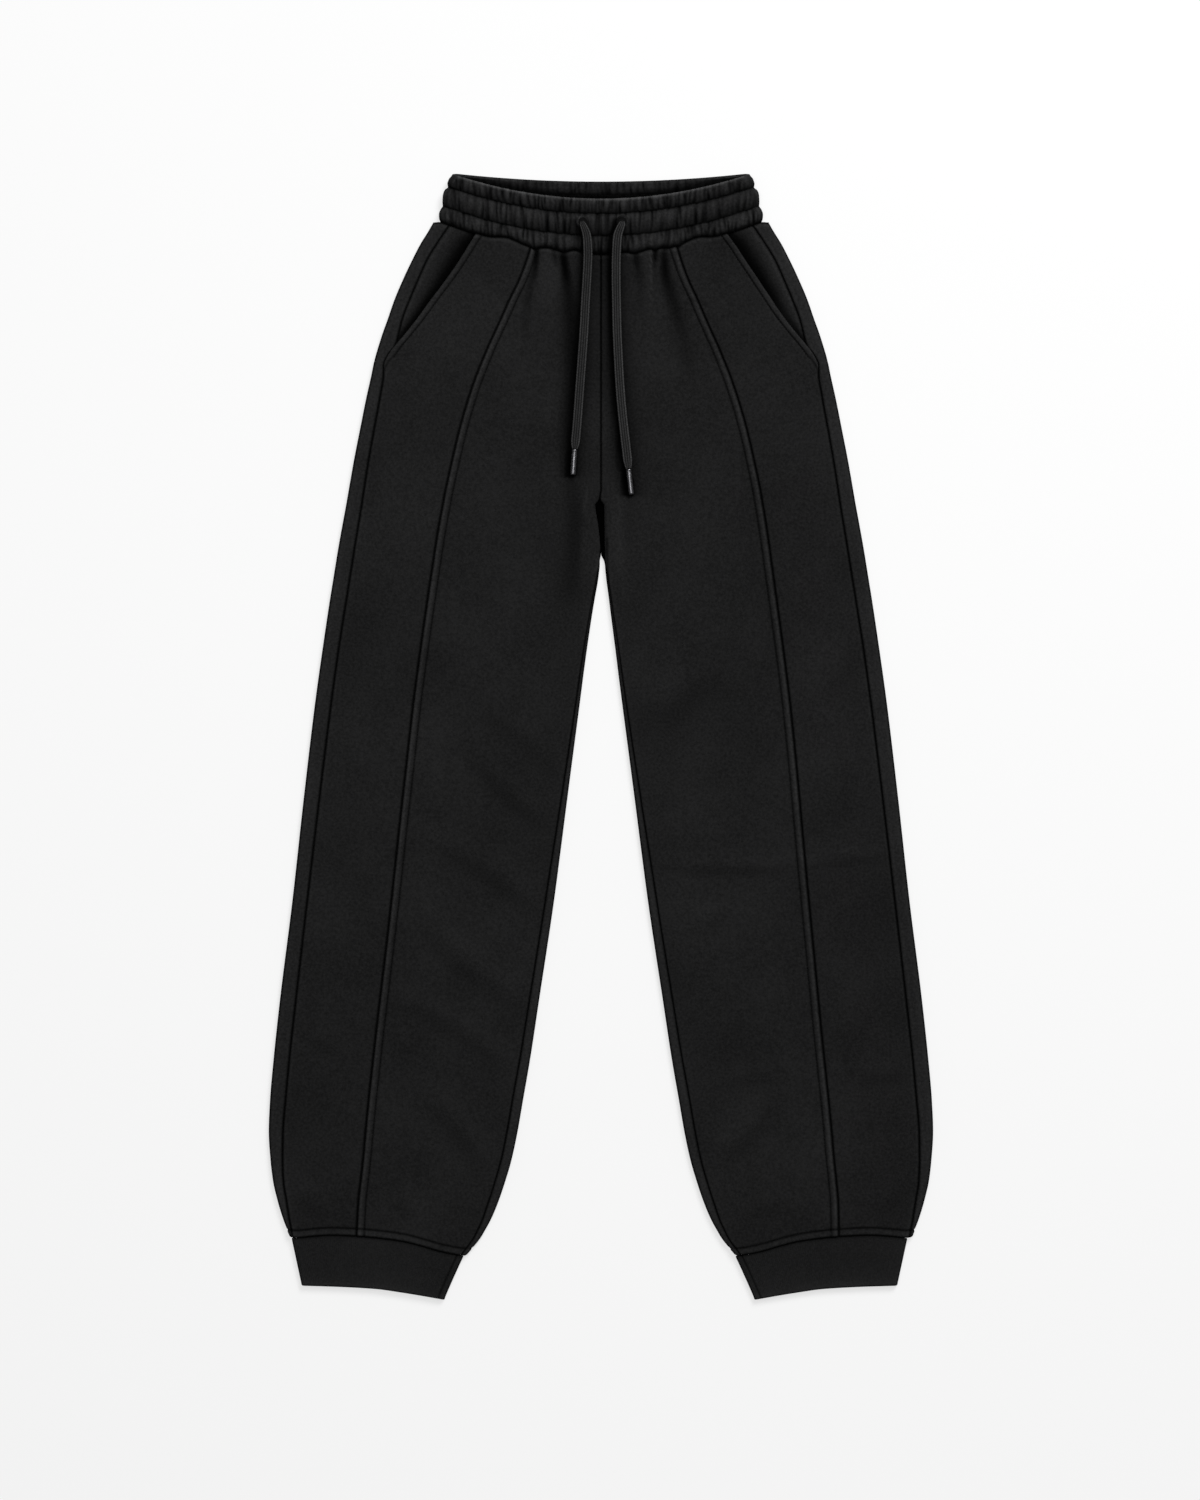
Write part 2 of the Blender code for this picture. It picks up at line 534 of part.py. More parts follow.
def make_front_side(name, side, material):
    """Front side panel: princess seam to the pocket mouth and, below it, the outseam."""
    outer, inner = [], []
    for row_y in panel_rows():
        def start_x(y):
            return princess_x(y, side) + SEAM_HALF_GAP

        def edge_x(y, distance):
            return section_value("front_edge", y) - SEAM_HALF_GAP - distance

        edge_y = settle(row_y, lambda y: edge_x(y, 0.0))[1]
        lift = mouth_lift(edge_y)
        raised = smoothstep((edge_y - MOUTH_END_Y + RIDGE_ONSET) / RIDGE_ONSET_RUN)
        pairs = [front_point(row_y, start_x, side, -ROLLED_EDGE)]
        first = settle(row_y, start_x)[0] + PRINCESS_SHOULDER
        last = settle(row_y, lambda y: edge_x(y, SHAPING))[0]
        for k in range(SIDE_MIDDLE_COLUMNS):
            share = k / SIDE_MIDDLE_COLUMNS
            x = first + (last - first) * share
            pairs.append(front_point(row_y, lambda y, x=x: x, side, lift * share ** 3))
        for distance in SEAM_COLUMNS:
            offset = lift + seam_shape(distance, raised)
            pairs.append(front_point(row_y, lambda y, d=distance: edge_x(y, d), side, offset))
        outer.append([pair[0] for pair in pairs])
        inner.append([pair[1] for pair in pairs])
    return close_wall(name, outer, inner, material)


def make_facing(name, side, material):
    """Pocket facing: from the outseam in under the front's mouth edge."""
    outer, inner = [], []
    for row_y in [y for y in panel_rows() if y >= MOUTH_END_Y]:
        def outseam_x(y):
            return section_value("outseam", y) - SEAM_HALF_GAP

        def mouth_x(y):
            return min(section_value("front_edge", y), outseam_x(y)) - FACING_EDGE

        open_x, mouth = settle(row_y, outseam_x)[0], settle(row_y, mouth_x)[0]
        edge_y = settle(row_y, mouth_x)[1]
        under = edge_height(edge_y) + mouth_lift(edge_y) - ROLLED_EDGE - CLOTH - CORD_CLEAR
        pairs = []
        for k, x in enumerate([open_x + (mouth - open_x) * share for share in FACING_SHARES]
                              + [mouth - FACING_STEP_IN, mouth - FACING_TUCK]):
            y = settle(row_y, lambda y, x=x: x)[1]
            z = under
            if k < len(FACING_PUFFS):
                shown = max(under, edge_height(y) - FACING_SINK + FACING_PUFFS[k])
                z += (shown - under) * smoothstep((y - MOUTH_END_Y) / FACING_OPENING)
            if k == len(FACING_PUFFS) - 1:
                z = (z + under) / 2
            pairs.append((Vector((x * side, y, z)), Vector((x * side, y, z - FACING_WALL))))
        outer.append([pair[0] for pair in pairs])
        inner.append([pair[1] for pair in pairs])
    return close_wall(name, outer, inner, material)


def back_profile(row_y, side):
    """Outer and inner points of the back panel at one row, inner edge first."""
    pairs = []
    _, y_in = settle(row_y, lambda y: inner_edge(y) + LEG_HEIGHT / 2, 0.0)
    for k in range(INNER_ARC_COLUMNS):
        share = k / (INNER_ARC_COLUMNS - 1)
        if y_in >= CROTCH_BACK_Y:
            x = SEAM_HALF_GAP + CENTRE_BACK_STEP * k
            y = row_to_y(row_y, x, 0.0)
            pairs.append((Vector((x * side, y, 0.0)), Vector((x * side, y, CLOTH))))
            continue

        def arc(y, share=share):
            return (inseam_turn(y) - SEAM_HALF_GAP) * (1.0 - share)

        front_share = turn_share(arc(row_y), row_y)
        _, y = settle(row_y, lambda y: inner_fold(arc(y), y, side)[0].x, front_share)
        outer, inner = inner_fold(arc(y), y, side)
        top_share = smoothstep(outer.y / edge_height(y))
        shift = Vector((0.0, hem_offset(row_y) * top_share))
        pairs.append((place(outer + shift, y, side), place(inner + shift, y, side)))

    last_x = abs(pairs[-1][0].x)
    arc_columns = []
    for k in range(OUTER_ARC_COLUMNS):
        share = k / (OUTER_ARC_COLUMNS - 1)

        def arc(y, share=share):
            radius = edge_height(y) / 2
            offset = section_value("fold_out", y) - section_value("outseam", y) - SEAM_HALF_GAP
            if offset >= radius:
                full = math.pi * radius + offset - radius
            else:
                full = (math.pi - math.asin((radius - offset) / radius)) * radius
            return full * share

        front_share = turn_share(arc(row_y), row_y)
        _, y = settle(row_y, lambda y: outer_fold(arc(y), y, side)[0].x, front_share)
        outer, inner = outer_fold(arc(y), y, side)
        if k == OUTER_ARC_COLUMNS - 1:
            inner.x = outer.x
        top_share = smoothstep(outer.y / edge_height(y))
        shift = Vector((0.0, hem_offset(row_y) * top_share))
        arc_columns.append((place(outer + shift, y, side), place(inner + shift, y, side)))

    next_x = abs(arc_columns[0][0].x)
    for k in range(1, FLOOR_COLUMNS + 1):
        x = last_x + (next_x - last_x) * k / (FLOOR_COLUMNS + 1)
        y = row_to_y(row_y, x, 0.0)
        pairs.append((Vector((x * side, y, 0.0)), Vector((x * side, y, CLOTH))))
    return pairs + arc_columns


def make_back(name, side, material):
    """Back panel: centre-back seam, flat underside and both folded edges of the leg."""
    rows = [back_profile(row_y, side) for row_y in panel_rows()]
    outer = [[pair[0] for pair in row] for row in rows]
    inner = [[pair[1] for pair in row] for row in rows]
    return close_wall(name, outer, inner, material)


def gather_depths(count, chance):
    """Valley depth and sideways shift of each gather in each of three channels."""
    return [[(chance.uniform(*GATHER_DEPTHS), chance.uniform(-GATHER_SHIFT, GATHER_SHIFT))
             for _ in range(len(BAND_STITCH_ROWS) + 1)] for _ in range(count)]


def channel_of(height):
    """Which of the three channels a height share lies in, lowest first."""
    return sum(height >= row for row in BAND_STITCH_ROWS)


def band_top(row):
    """Height of the front wall's top at a row."""
    return BAND_FRONT_STITCH_Z + (BAND_FRONT_CREST_Z - BAND_FRONT_STITCH_Z) * row.puff


def band_inside(row):
    """Height of the back wall's inside at a row."""
    return BAND_STITCH_THICK + BAND_PUFF * row.puff * BAND_INNER_PUFF


def band_point(row, across, front_share, gather, is_valley, surface):
    """A point of the waistband's wall.

    across is the position from -1 to 1 between the end folds, front_share 0 on the back
    wall and 1 on the front wall, and surface is "out" or "in".
    """
    depth, shift = gather[channel_of(row.height)]
    x = across * (row.half_width - BAND_FOLD_REACH)
    if is_valley:
        x += shift * row.gather
    relief = (-GATHER_VALLEY * depth if is_valley else GATHER_PEAK * depth) * row.gather
    if surface == "out":
        z = (band_top(row) + relief) * front_share
    else:
        back_z = band_inside(row) + relief * BAND_INNER_RELIEF
        z = back_z * (1.0 - front_share) + BAND_LIFT * front_share
    return x, z


def band_y(row, x, front_share):
    """y of a waistband row at x, between the seam and the rim."""
    low = blended_bow(WAIST_SEAM_BACK, WAIST_SEAM_FRONT, front_share, x) + SEAM_HALF_GAP
    high = blended_bow(BAND_TOP_BACK, BAND_TOP_FRONT, front_share, x)
    return low + (high - low) * row.height


def flat_column(across, front_share, gather, is_valley):
    """One loop of points up the outside of the band and down its inside."""
    loop = []
    for rows, surface in ((BAND_OUTER, "out"), ([BAND_RIM], "rim"), (BAND_INNER, "in")):
        for row in rows:
            if surface == "rim":
                x, top = band_point(row, across, front_share, gather, is_valley, "out")
                z = (top + band_point(row, across, front_share, gather, is_valley, "in")[1]) / 2
            else:
                x, z = band_point(row, across, front_share, gather, is_valley, surface)
            loop.append(Vector((x, band_y(row, x, front_share), z)))
    return loop


def fold_column(angle, side):
    """One loop of points at an angle round the band's end fold, 0 at the floor."""
    share = (1.0 - math.cos(angle)) / 2
    loop = []
    for rows, surface in ((BAND_OUTER, "out"), ([BAND_RIM], "rim"), (BAND_INNER, "in")):
        for row in rows:
            back_in = band_inside(row)
            out_point = Vector((BAND_FOLD_REACH * math.sin(angle), band_top(row) * share))
            in_point = Vector((BAND_FOLD_INNER * math.sin(angle),
                               back_in + (BAND_LIFT - back_in) * share))
            point = {"out": out_point, "in": in_point, "rim": (out_point + in_point) / 2}[surface]
            x = row.half_width - BAND_FOLD_REACH + point.x
            loop.append(Vector((x * side, band_y(row, x, share), point.y)))
    return loop


def make_waistband(material):
    """Gathered elastic waistband: one flattened ring with three sewn channels."""
    chance = random.Random(GATHER_SEED)
    front = gather_depths(FRONT_GATHERS, chance)
    back = gather_depths(BACK_GATHERS, chance)
    columns = []
    for gathers, front_share, direction in ((back, 0.0, 1), (front, 1.0, -1)):
        count = len(gathers)
        for g in range(count):
            for half in (0, 1):
                across = direction * (-1.0 + 2.0 * (g + 0.25 + 0.5 * half) / count)
                columns.append(flat_column(across, front_share, gathers[g], half == 1))
        side = direction
        angles = [math.pi * (k + 0.5) / FOLD_STEPS for k in range(FOLD_STEPS)]
        if direction < 0:
            angles.reverse()
        columns += [fold_column(angle, side) for angle in angles]
    return close_ring("waistband", columns, material)


def make_cuff(name, side, material):
    """Ribbed cuff: a short flattened tube from the cuff seam to the hem."""
    radius = CUFF_HEIGHT / 2
    inner_radius = radius - CUFF_WALL
    stations = [("back", k / (CUFF_BACK_COLUMNS - 1)) for k in range(CUFF_BACK_COLUMNS)]
    stations += [("out", (k + 1) / (CUFF_FOLD_COLUMNS + 1)) for k in range(CUFF_FOLD_COLUMNS)]
    stations += [("front", 1.0 - k / (CUFF_FRONT_COLUMNS - 1)) for k in range(CUFF_FRONT_COLUMNS)]
    stations += [("in", 1.0 - (k + 1) / (CUFF_FOLD_COLUMNS + 1)) for k in range(CUFF_FOLD_COLUMNS)]

    def surface(kind, share, step, reach):
        """A point at radius `reach` from the wall's fold line, `step` down the cuff."""
        low = CUFF_TOP_SPAN[0] + (CUFF_HEM_SPAN[0] - CUFF_TOP_SPAN[0]) * step + radius
        high = CUFF_TOP_SPAN[1] + (CUFF_HEM_SPAN[1] - CUFF_TOP_SPAN[1]) * step - radius
        if kind in ("back", "front"):
            x = low + (high - low) * share
            z = radius - reach if kind == "back" else radius + reach
        else:
            angle = math.pi * share
            x = (high + reach * math.sin(angle)) if kind == "out" else (low - reach * math.sin(angle))
            z = radius - reach * math.cos(angle)
        front_share = {"back": 0.0, "front": 1.0}.get(kind, (1.0 - math.cos(math.pi * share)) / 2)
        top = cuff_seam_y(x, front_share) - SEAM_HALF_GAP
        hem_x = CUFF_HEM_SPAN[0] + (x - low + radius) / (high - low + 2 * radius) * (
            CUFF_HEM_SPAN[1] - CUFF_HEM_SPAN[0])
        return Vector((x * side, top + (between(CUFF_HEM, "x", hem_x, "y") - top) * step, z))

    columns = []
    for kind, share in stations:
        outside = [surface(kind, share, step, radius) for step in CUFF_STEPS[:-1]]
        middle = surface(kind, share, CUFF_STEPS[-1], (radius + inner_radius) / 2)
        inside = [surface(kind, share, step, inner_radius) for step in reversed(CUFF_STEPS[:-1])]
        columns.append(outside + [middle] + inside)
    return close_ring(name, columns, material)


def band_surface(x, y):
    """Highest cloth under a cord point: the band's front above the waist seam, else the front."""
    seam = bow_y(WAIST_SEAM_FRONT, x)
    side = 1 if x >= 0 else -1
    panel = front_top(abs(x), min(y, seam), side)
    band = BAND_FRONT_CREST_Z + GATHER_PEAK
    return panel + (band - panel) * smoothstep((y - seam + CORD_REST) / CORD_REST)


def cord_route(name):
    """Centre line of a cord with its width share, point by point, from its hand-laid route."""
    route = []
    for lay in CORDS[name]:
        half_thick = CORD_WIDTH * CORD_FLATTEN / 2 * lay.width
        route.append((Vector((lay.x, lay.y, band_surface(lay.x, lay.y) + lay.lift + half_thick)),
                      lay.width))
    return route


def smooth_points(route, step):
    """Points every `step` along a Catmull-Rom curve through the route."""
    points = []
    for i in range(len(route) - 1):
        before, here = route[max(0, i - 1)], route[i]
        there, after = route[i + 1], route[min(len(route) - 1, i + 2)]
        pieces = max(1, round((there[0] - here[0]).length / step))
        for k in range(pieces):
            t = k / pieces
            position = 0.5 * ((2.0 * here[0]) + (there[0] - before[0]) * t
                              + (2.0 * before[0] - 5.0 * here[0] + 4.0 * there[0] - after[0]) * t * t
                              + (3.0 * here[0] - before[0] - 3.0 * there[0] + after[0]) * t ** 3)
            points.append((position, here[1] + (there[1] - here[1]) * t))
    points.append(route[-1])
    return points


def make_cord(name, route_name, material):
    """Flat braided drawcord: a bevelled curve pressed flat by its object's scale."""
    points = smooth_points(cord_route(route_name), CORD_STEP)
    curve = bpy.data.curves.new(name, "CURVE")
    curve.dimensions = "3D"
    curve.bevel_depth = CORD_WIDTH / 2 * MM
    curve.bevel_resolution = CORD_BEVEL
    curve.use_fill_caps = True
    spline = curve.splines.new("POLY")
    spline.points.add(len(points) - 1)
    for spline_point, (position, width) in zip(spline.points, points):
        stretched = Vector((position.x, position.y, position.z / CORD_FLATTEN)) * MM
        spline_point.co = (*stretched, 1.0)
        spline_point.radius = width
    curve.materials.append(material)
    cord = bpy.data.objects.new(name, curve)
    cord.scale = (1.0, 1.0, CORD_FLATTEN)
    bpy.context.scene.collection.objects.link(cord)
    return cord


def make_tip(name, route_name, material):
    """Metal cord tip: a short rod with eased ends, lying on the front."""
    heading = TIP_HEADINGS[route_name].normalized()
    end = cord_route(route_name)[-1][0]
    start = end + heading * TIP_GAP
    profile = [(0.0, TIP_RADIUS - TIP_EASE[1]), (TIP_EASE[0], TIP_RADIUS),
               (TIP_LENGTH - TIP_NOSE[0], TIP_RADIUS), (TIP_LENGTH, TIP_RADIUS - TIP_NOSE[1])]
    sideways = Vector((0.0, 0.0, 1.0)).cross(heading).normalized()
    lift = Vector((0.0, 0.0, 1.0))
    bm = bmesh.new()
    rings = []
    for distance, radius in profile:
        ring = []
        for k in range(ROUND_SIDES):
            angle = 2 * math.pi * k / ROUND_SIDES
            offset = (sideways * math.cos(angle) + lift * math.sin(angle)) * radius
            ring.append(bm.verts.new((start + heading * distance + offset) * MM))
        rings.append(ring)
    for here, there in zip(rings, rings[1:]):
        for k in range(ROUND_SIDES):
            j = (k + 1) % ROUND_SIDES
            bm.faces.new((here[k], here[j], there[j], there[k]))
    bm.faces.new(rings[0])
    bm.faces.new(rings[-1])
    return finish_mesh(name, bm, material)


def make_eyelet(name, route_name, material):
    """Thread-bound eyelet: a low ring on the middle channel."""
    centre = Vector((EYELETS[route_name], EYELET_Y, 0.0))
    floor = band_surface(centre.x, centre.y) + CORD_CLEAR
    profile = [(EYELET_INNER, 0.0), (EYELET_OUTER, 0.0),
               (EYELET_OUTER - EYELET_EDGE[0], EYELET_EDGE[1]),
               ((EYELET_INNER + EYELET_OUTER) / 2, EYELET_HEIGHT),
               (EYELET_INNER + EYELET_LIP[0], EYELET_LIP[1])]
    columns = []
    for k in range(ROUND_SIDES):
        angle = 2 * math.pi * k / ROUND_SIDES
        columns.append([centre + Vector((radius * math.cos(angle), radius * math.sin(angle),
                                         floor + height)) for radius, height in profile])
    return close_ring(name, columns, material)


def clear_scene():
    """Start from an empty scene."""
    for thing in list(bpy.data.objects):
        bpy.data.objects.remove(thing, do_unlink=True)


def main():
    """Build every piece of the trousers."""
    clear_scene()
    fleece = make_material("fleece", FLEECE)
    rib = make_material("rib_knit", RIB_KNIT)
    braid = make_material("cord_braid", CORD_BRAID)
    thread = make_material("eyelet_thread", EYELET_THREAD)
    metal = make_material("tip_metal", GUNMETAL)
    make_waistband(fleece)
    for word, side in (("left", 1), ("right", -1)):
        make_front_centre(f"front_centre_{word}", side, fleece)
        make_front_side(f"front_side_{word}", side, fleece)
        make_facing(f"pocket_facing_{word}", side, fleece)
        make_back(f"back_{word}", side, fleece)
        make_cuff(f"cuff_{word}", side, rib)
        make_eyelet(f"eyelet_{word}", word, thread)
        make_cord(f"drawcord_{word}", word, braid)
        make_tip(f"cord_tip_{word}", word, metal)


main()
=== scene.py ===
"""Jogger sweatpants in brushed fleece, laid flat on their back: cloth, seams, cords, finishes.

The trousers lie on the floor at z = 0, front up, waist towards +Y, the wearer's left leg
on +X. Sizes in this file are millimetres unless a name says otherwise. Every cut piece is
a wall of its own that follows the same outline tables, so neighbours meet at each seam.
A point carries a tone besides its place: painted shade in seams, creases, folds and recesses and in the
drawcords' shadow, and painted highlight on ridges and rims.
"""

import logging
import math
from dataclasses import dataclass, field
from enum import Enum
from typing import Callable, Iterable

import bmesh
import bpy
import numpy as np
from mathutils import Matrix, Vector


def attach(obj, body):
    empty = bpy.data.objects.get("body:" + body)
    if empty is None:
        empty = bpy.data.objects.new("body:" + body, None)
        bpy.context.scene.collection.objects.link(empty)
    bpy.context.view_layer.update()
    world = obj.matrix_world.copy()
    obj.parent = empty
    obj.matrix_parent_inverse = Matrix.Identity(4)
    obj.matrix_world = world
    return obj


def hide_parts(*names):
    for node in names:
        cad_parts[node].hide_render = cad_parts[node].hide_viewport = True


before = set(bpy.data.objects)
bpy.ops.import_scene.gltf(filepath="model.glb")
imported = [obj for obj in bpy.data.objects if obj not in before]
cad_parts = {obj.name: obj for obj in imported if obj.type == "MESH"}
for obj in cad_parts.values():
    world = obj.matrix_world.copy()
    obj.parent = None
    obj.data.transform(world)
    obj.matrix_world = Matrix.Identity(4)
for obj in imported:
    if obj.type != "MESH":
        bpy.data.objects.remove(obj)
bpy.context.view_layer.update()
LOG = logging.getLogger("joggers")
Grid = np.ndarray
Material = bpy.types.Material
Piece = bpy.types.Object
Socket = bpy.types.NodeSocket
Walls = tuple[Grid, Grid]
Point = tuple[float, float]
Place = tuple[float, float, float]
Colour = tuple[float, float, float]
MM = 0.001
INSIDE_TONE = -1.0            # the inside of the cloth, where little light falls

# Cloth and seams
CLOTH = 3.0
SEAM_HALF_GAP = 0.15
LEG_HEIGHT = 7.6
WAIST_RISE = 2.3
RISE_START_Y = 420.0
WAIST_LINE_Y = 478.0
CROWN = 0.9
SEAM_ALLOWANCE = 7.2
HIP_Y = 400.0
CALF_Y = -400.0
TOP_Y = 484.0
BOTTOM_Y = -472.0
CROTCH_FRONT_Y = 226.0
CROTCH_BACK_Y = 173.0
BAND_HALF_WIDTH = 152.0
BAND_BOW = 30.2               # how far the front's waist seam rises from the middle to its ends
SEAM_FLATTENS_AT = 150.0
BAND_TOP_Z = 12.9
STITCH_SINK = 0.36
BODY_FOLD_IN = -LEG_HEIGHT / 2
BODY_INSEAM = math.pi * LEG_HEIGHT / 2

# Rows of the half outline: y, outer fold, outseam, princess seam, and from the crotch down the
# inner fold and where the inseam lies round it; rows of the body take its own for these two
SECTIONS = (
    (484, 158.3, 141.1, 61.7), (475, 163.5, 147.4, 64.4), (466, 169.2, 153.4, 67.4),
    (449, 178.1, 163.9, 72.8), (430, 187.1, 172.6, 79.9), (412, 194.7, 180.2, 88.5),
    (393, 201.3, 187.4, 96.8), (380, 206, 190.7, 102.7), (369, 209.5, 193.6, 107.8),
    (360, 212.2, 200.4, 111.6), (350, 214.7, 204.8, 115.7), (341, 216.5, 205.1, 119.3),
    (318, 221.6, 208.7, 127.2), (290, 227.2, 213.8, 135.3), (262, 232.7, 218.8, 141.9),
    (226, 239, 224.4, 149.5), (222.5, 239.6, 224.9, 150.1, -0.5, 9),
    (218.5, 240.3, 225.5, 150.8, 4.1, 5.44), (198, 244.1, 228.9, 154.4, 2.8, 5.44),
    (173, 248.5, 233, 158.2, 1.9, 5.44), (165, 249.8, 234.2, 159.3, 2.2, 6.5),
    (150, 252.2, 236.7, 161.5, 3.6, 9.6), (129, 255.6, 240, 164.5, 6.8, 9.99),
    (82, 262.6, 247.4, 171, 13.4, 11.1), (34, 269.3, 254, 177.2, 19.6, 11.9),
    (-60, 280.5, 265.7, 187.2, 31.9, 13.9), (-154, 290.9, 276.8, 196.6, 44.1, 16.4),
    (-249, 302.8, 287.7, 206.7, 58.4, 17.3), (-305, 308.8, 293.9, 212.7, 66.9, 17.9),
    (-343, 312.1, 297.4, 216.8, 73.5, 18.2), (-372, 313.3, 299.8, 219.6, 78.5, 18.2),
    (-400, 311.6, 300.2, 222.1, 84.5, 18), (-419, 309.3, 299.4, 224.2, 90.1, 17.8),
    (-438, 304.9, 296.5, 226.1, 96.5, 17.5), (-457, 299, 293.5, 226.9, 104.5, 16.03),
    (-464.5, 296, 292.1, 227.1, 108.7, 15.36), (-468.5, 294.3, 291.4, 227.2, 111, 15.02),
    (-472, 292.7, 290.8, 227.3, 113, 14.77), (-490, 286.5, 286.1, 227.7, 128, 13.1))
OUTLINE = np.array([row + (BODY_FOLD_IN, BODY_INSEAM)[len(row) - 4:] for row in SECTIONS])
# The front's edge at the pocket mouth, row by row; below it the front ends at the outseam
MOUTH_EDGE = (111.4, 117.2, 122.8, 133.5, 146.6, 160.2, 174, 184.3)
COLUMNS = ("fold_out", "outseam", "princess", "fold_in", "inseam")

# Cuff lines across the half: distance from the centre line, y
CUFF_SEAM = np.array([
    (127, -489.7), (135, -488.7), (152, -485.2), (169, -480.2), (186, -476), (211, -472.6), (230, -471),
    (254, -470.1), (271, -471.1), (288, -472.6), (295, -472.2)
], dtype=float)
CUFF_HEM = np.array([
    (146, -531.3), (169, -527.2), (186, -524.4), (211, -520.9), (245, -518.9), (281, -517.7)
], dtype=float)
CUFF_TOP_SPAN = (128, 290.5)
CUFF_HEM_SPAN = (146.5, 280.8)
CUFF_HEIGHT = 7.4
CUFF_WALL = 3.0
CUFF_DROP = 45.0

# Drawcord routes: x, y, lift of the underside above the cloth, share of the full width
CORD_WIDTH = 9.2
CORD_FLATTEN = 0.4
EYELETS = {"right": (-17.3, 484.3), "left": (20.2, 484.3)}
ROUTES = {
    "right": [
        (-17.8, 484.4, 0.5, 0.40), (-17.2, 482, 1.7, 0.66), (-15.6, 478.2, 1.7, 0.80),
        (-14, 474.1, 0.7, 0.92), (-13.1, 469.9, 0.3, 0.96), (-12.4, 461.1, 0.3, 1), (-12.3, 449.8, 0.4, 1),
        (-13.2, 430.9, 0.3, 1), (-14.4, 412.1, 0.3, 1), (-15.9, 383.7, 0.3, 1), (-17.5, 360.1, 0.3, 1),
        (-19.3, 336.5, 0.3, 1), (-21.3, 309.2, 0.3, 1), (-22.7, 291.6, 0.3, 1), (-24, 277.5, 0.6, 1),
        (-24.7, 270.7, 2.3, 0.6)],
    "left": [
        (20, 484.4, 0.5, 0.44), (19.7, 482, 1.7, 0.74), (18.2, 478.2, 1.7, 0.88), (16.6, 474.1, 0.7, 0.95),
        (15.6, 469.9, 0.3, 1), (14.9, 461.1, 0.3, 1), (14.4, 449.8, 0.4, 1), (14.3, 430.9, 0.3, 1),
        (14.6, 412.1, 0.3, 1), (15.2, 383.7, 0.3, 1), (16.2, 360.1, 0.3, 1), (17.5, 336.5, 0.3, 1),
        (18.9, 317.7, 0.3, 1), (20.7, 298.8, 0.3, 1), (23.2, 277, 0.3, 1), (25.1, 260.5, 0.6, 1),
        (26, 252.2, 2.3, 0.6)],
}
TIP_HEADINGS = {"right": Vector((-1.6, -25, 0)), "left": Vector((2.9, -25, 0))}


class Side(Enum):
    """The wearer's left is on +X."""

    LEFT = 1
    RIGHT = -1

    @property
    def word(self) -> str:
        """The side as it stands in piece names."""
        return self.name.lower()


class Wall(Enum):
    """Upper or lower side of a flattened tube."""

    BACK = 0
    FRONT = 1


def smoothstep(value: Grid) -> Grid:
    """Ease from 0 to 1 as value runs from 0 to 1."""
    value = np.clip(value, 0.0, 1.0)
    return value * value * (3.0 - 2.0 * value)


def bell(offset: Grid, width: float) -> Grid:
    """1 where the offset is 0, falling away smoothly over the width."""
    return np.exp(-(np.asarray(offset, dtype=float) / width) ** 2)


def rolled(distance: Grid, radius: float) -> Grid:
    """How far a rounded edge has dropped at a distance from it, nothing past the radius."""
    inside = np.clip(radius - np.asarray(distance, dtype=float), 0.0, radius)
    return radius - np.sqrt(radius * radius - inside * inside)


@dataclass(frozen=True)
class Band:
    """A soft band of tone or height along a line: painted shade in a crevice, painted highlight on a lip."""

    strength: float
    width: float
    at: float = 0.0

    def __call__(self, distance: Grid) -> Grid:
        """What the band adds at a distance from its line."""
        return self.strength * bell(np.asarray(distance, dtype=float) - self.at, self.width)


def bands(distance: Grid, kinds: Iterable[Band]) -> Grid:
    """What several bands along one line add together."""
    return sum(band(distance) for band in kinds)


# Painted shade and painted highlight beside each kind of seam and edge, by the distance from it
WAIST_TONE = (Band(-2.4, 1.0), Band(0.4, 1.5, 2.7))
HEM_TONE = (Band(-1.5, 1.0), Band(-1.5, 0.95, SEAM_ALLOWANCE), Band(0.36, 1.7, 3.6))
STRIP_TONE = (Band(-1.9, 1.15), Band(0.75, 1.8, 2.5), Band(-0.85, 1.0, SEAM_ALLOWANCE))
OUTSEAM_LIP_TONE = (Band(-1.8, 1.0), Band(0.2, 1.2, 2.2))
OUTSEAM_TONE = (Band(-1.9, 1.0), Band(0.22, 2.0, 3.2))
CENTRE_TONE = Band(-1.9, 0.8)
PRINCESS_TONE = Band(-1.9, 1.1)
INSEAM_TONE = Band(-1.7, 1.1)
FACING_SEAM_TONE = Band(-1.8, 1.0)
FACING_WAIST_TONE = Band(-2.2, 1.0)
FACING_HIGHLIGHT = Band(0.5, 0.09, 0.11)
MOUTH_HIGHLIGHT = Band(0.6, 3.6)
MOUTH_STITCHES = Band(-0.9, 1.0)
OUTER_EDGE_HIGHLIGHT = Band(0.5, 9.0)
OUTER_RIM = Band(-3.4, 1.15)
INNER_RIM = Band(-2.3, 0.9)
SLOT_LINE = Band(-1.4, 0.8, 2.4)
# Height beside the seams, in the same way
WAIST_PUFF = Band(0.45, 3.0, 4.2)
CENTRE_LIP = Band(0.2, 0.9, 2.1)
OUTSEAM_LIP = Band(0.3, 1.1, 2.3)
BACK_LIP = Band(0.2, 1.1, 2.6)
HEM_GROOVE = Band(-0.62, 0.75, SEAM_ALLOWANCE)
STITCH_GROOVE = Band(-0.5, 0.7, SEAM_ALLOWANCE)


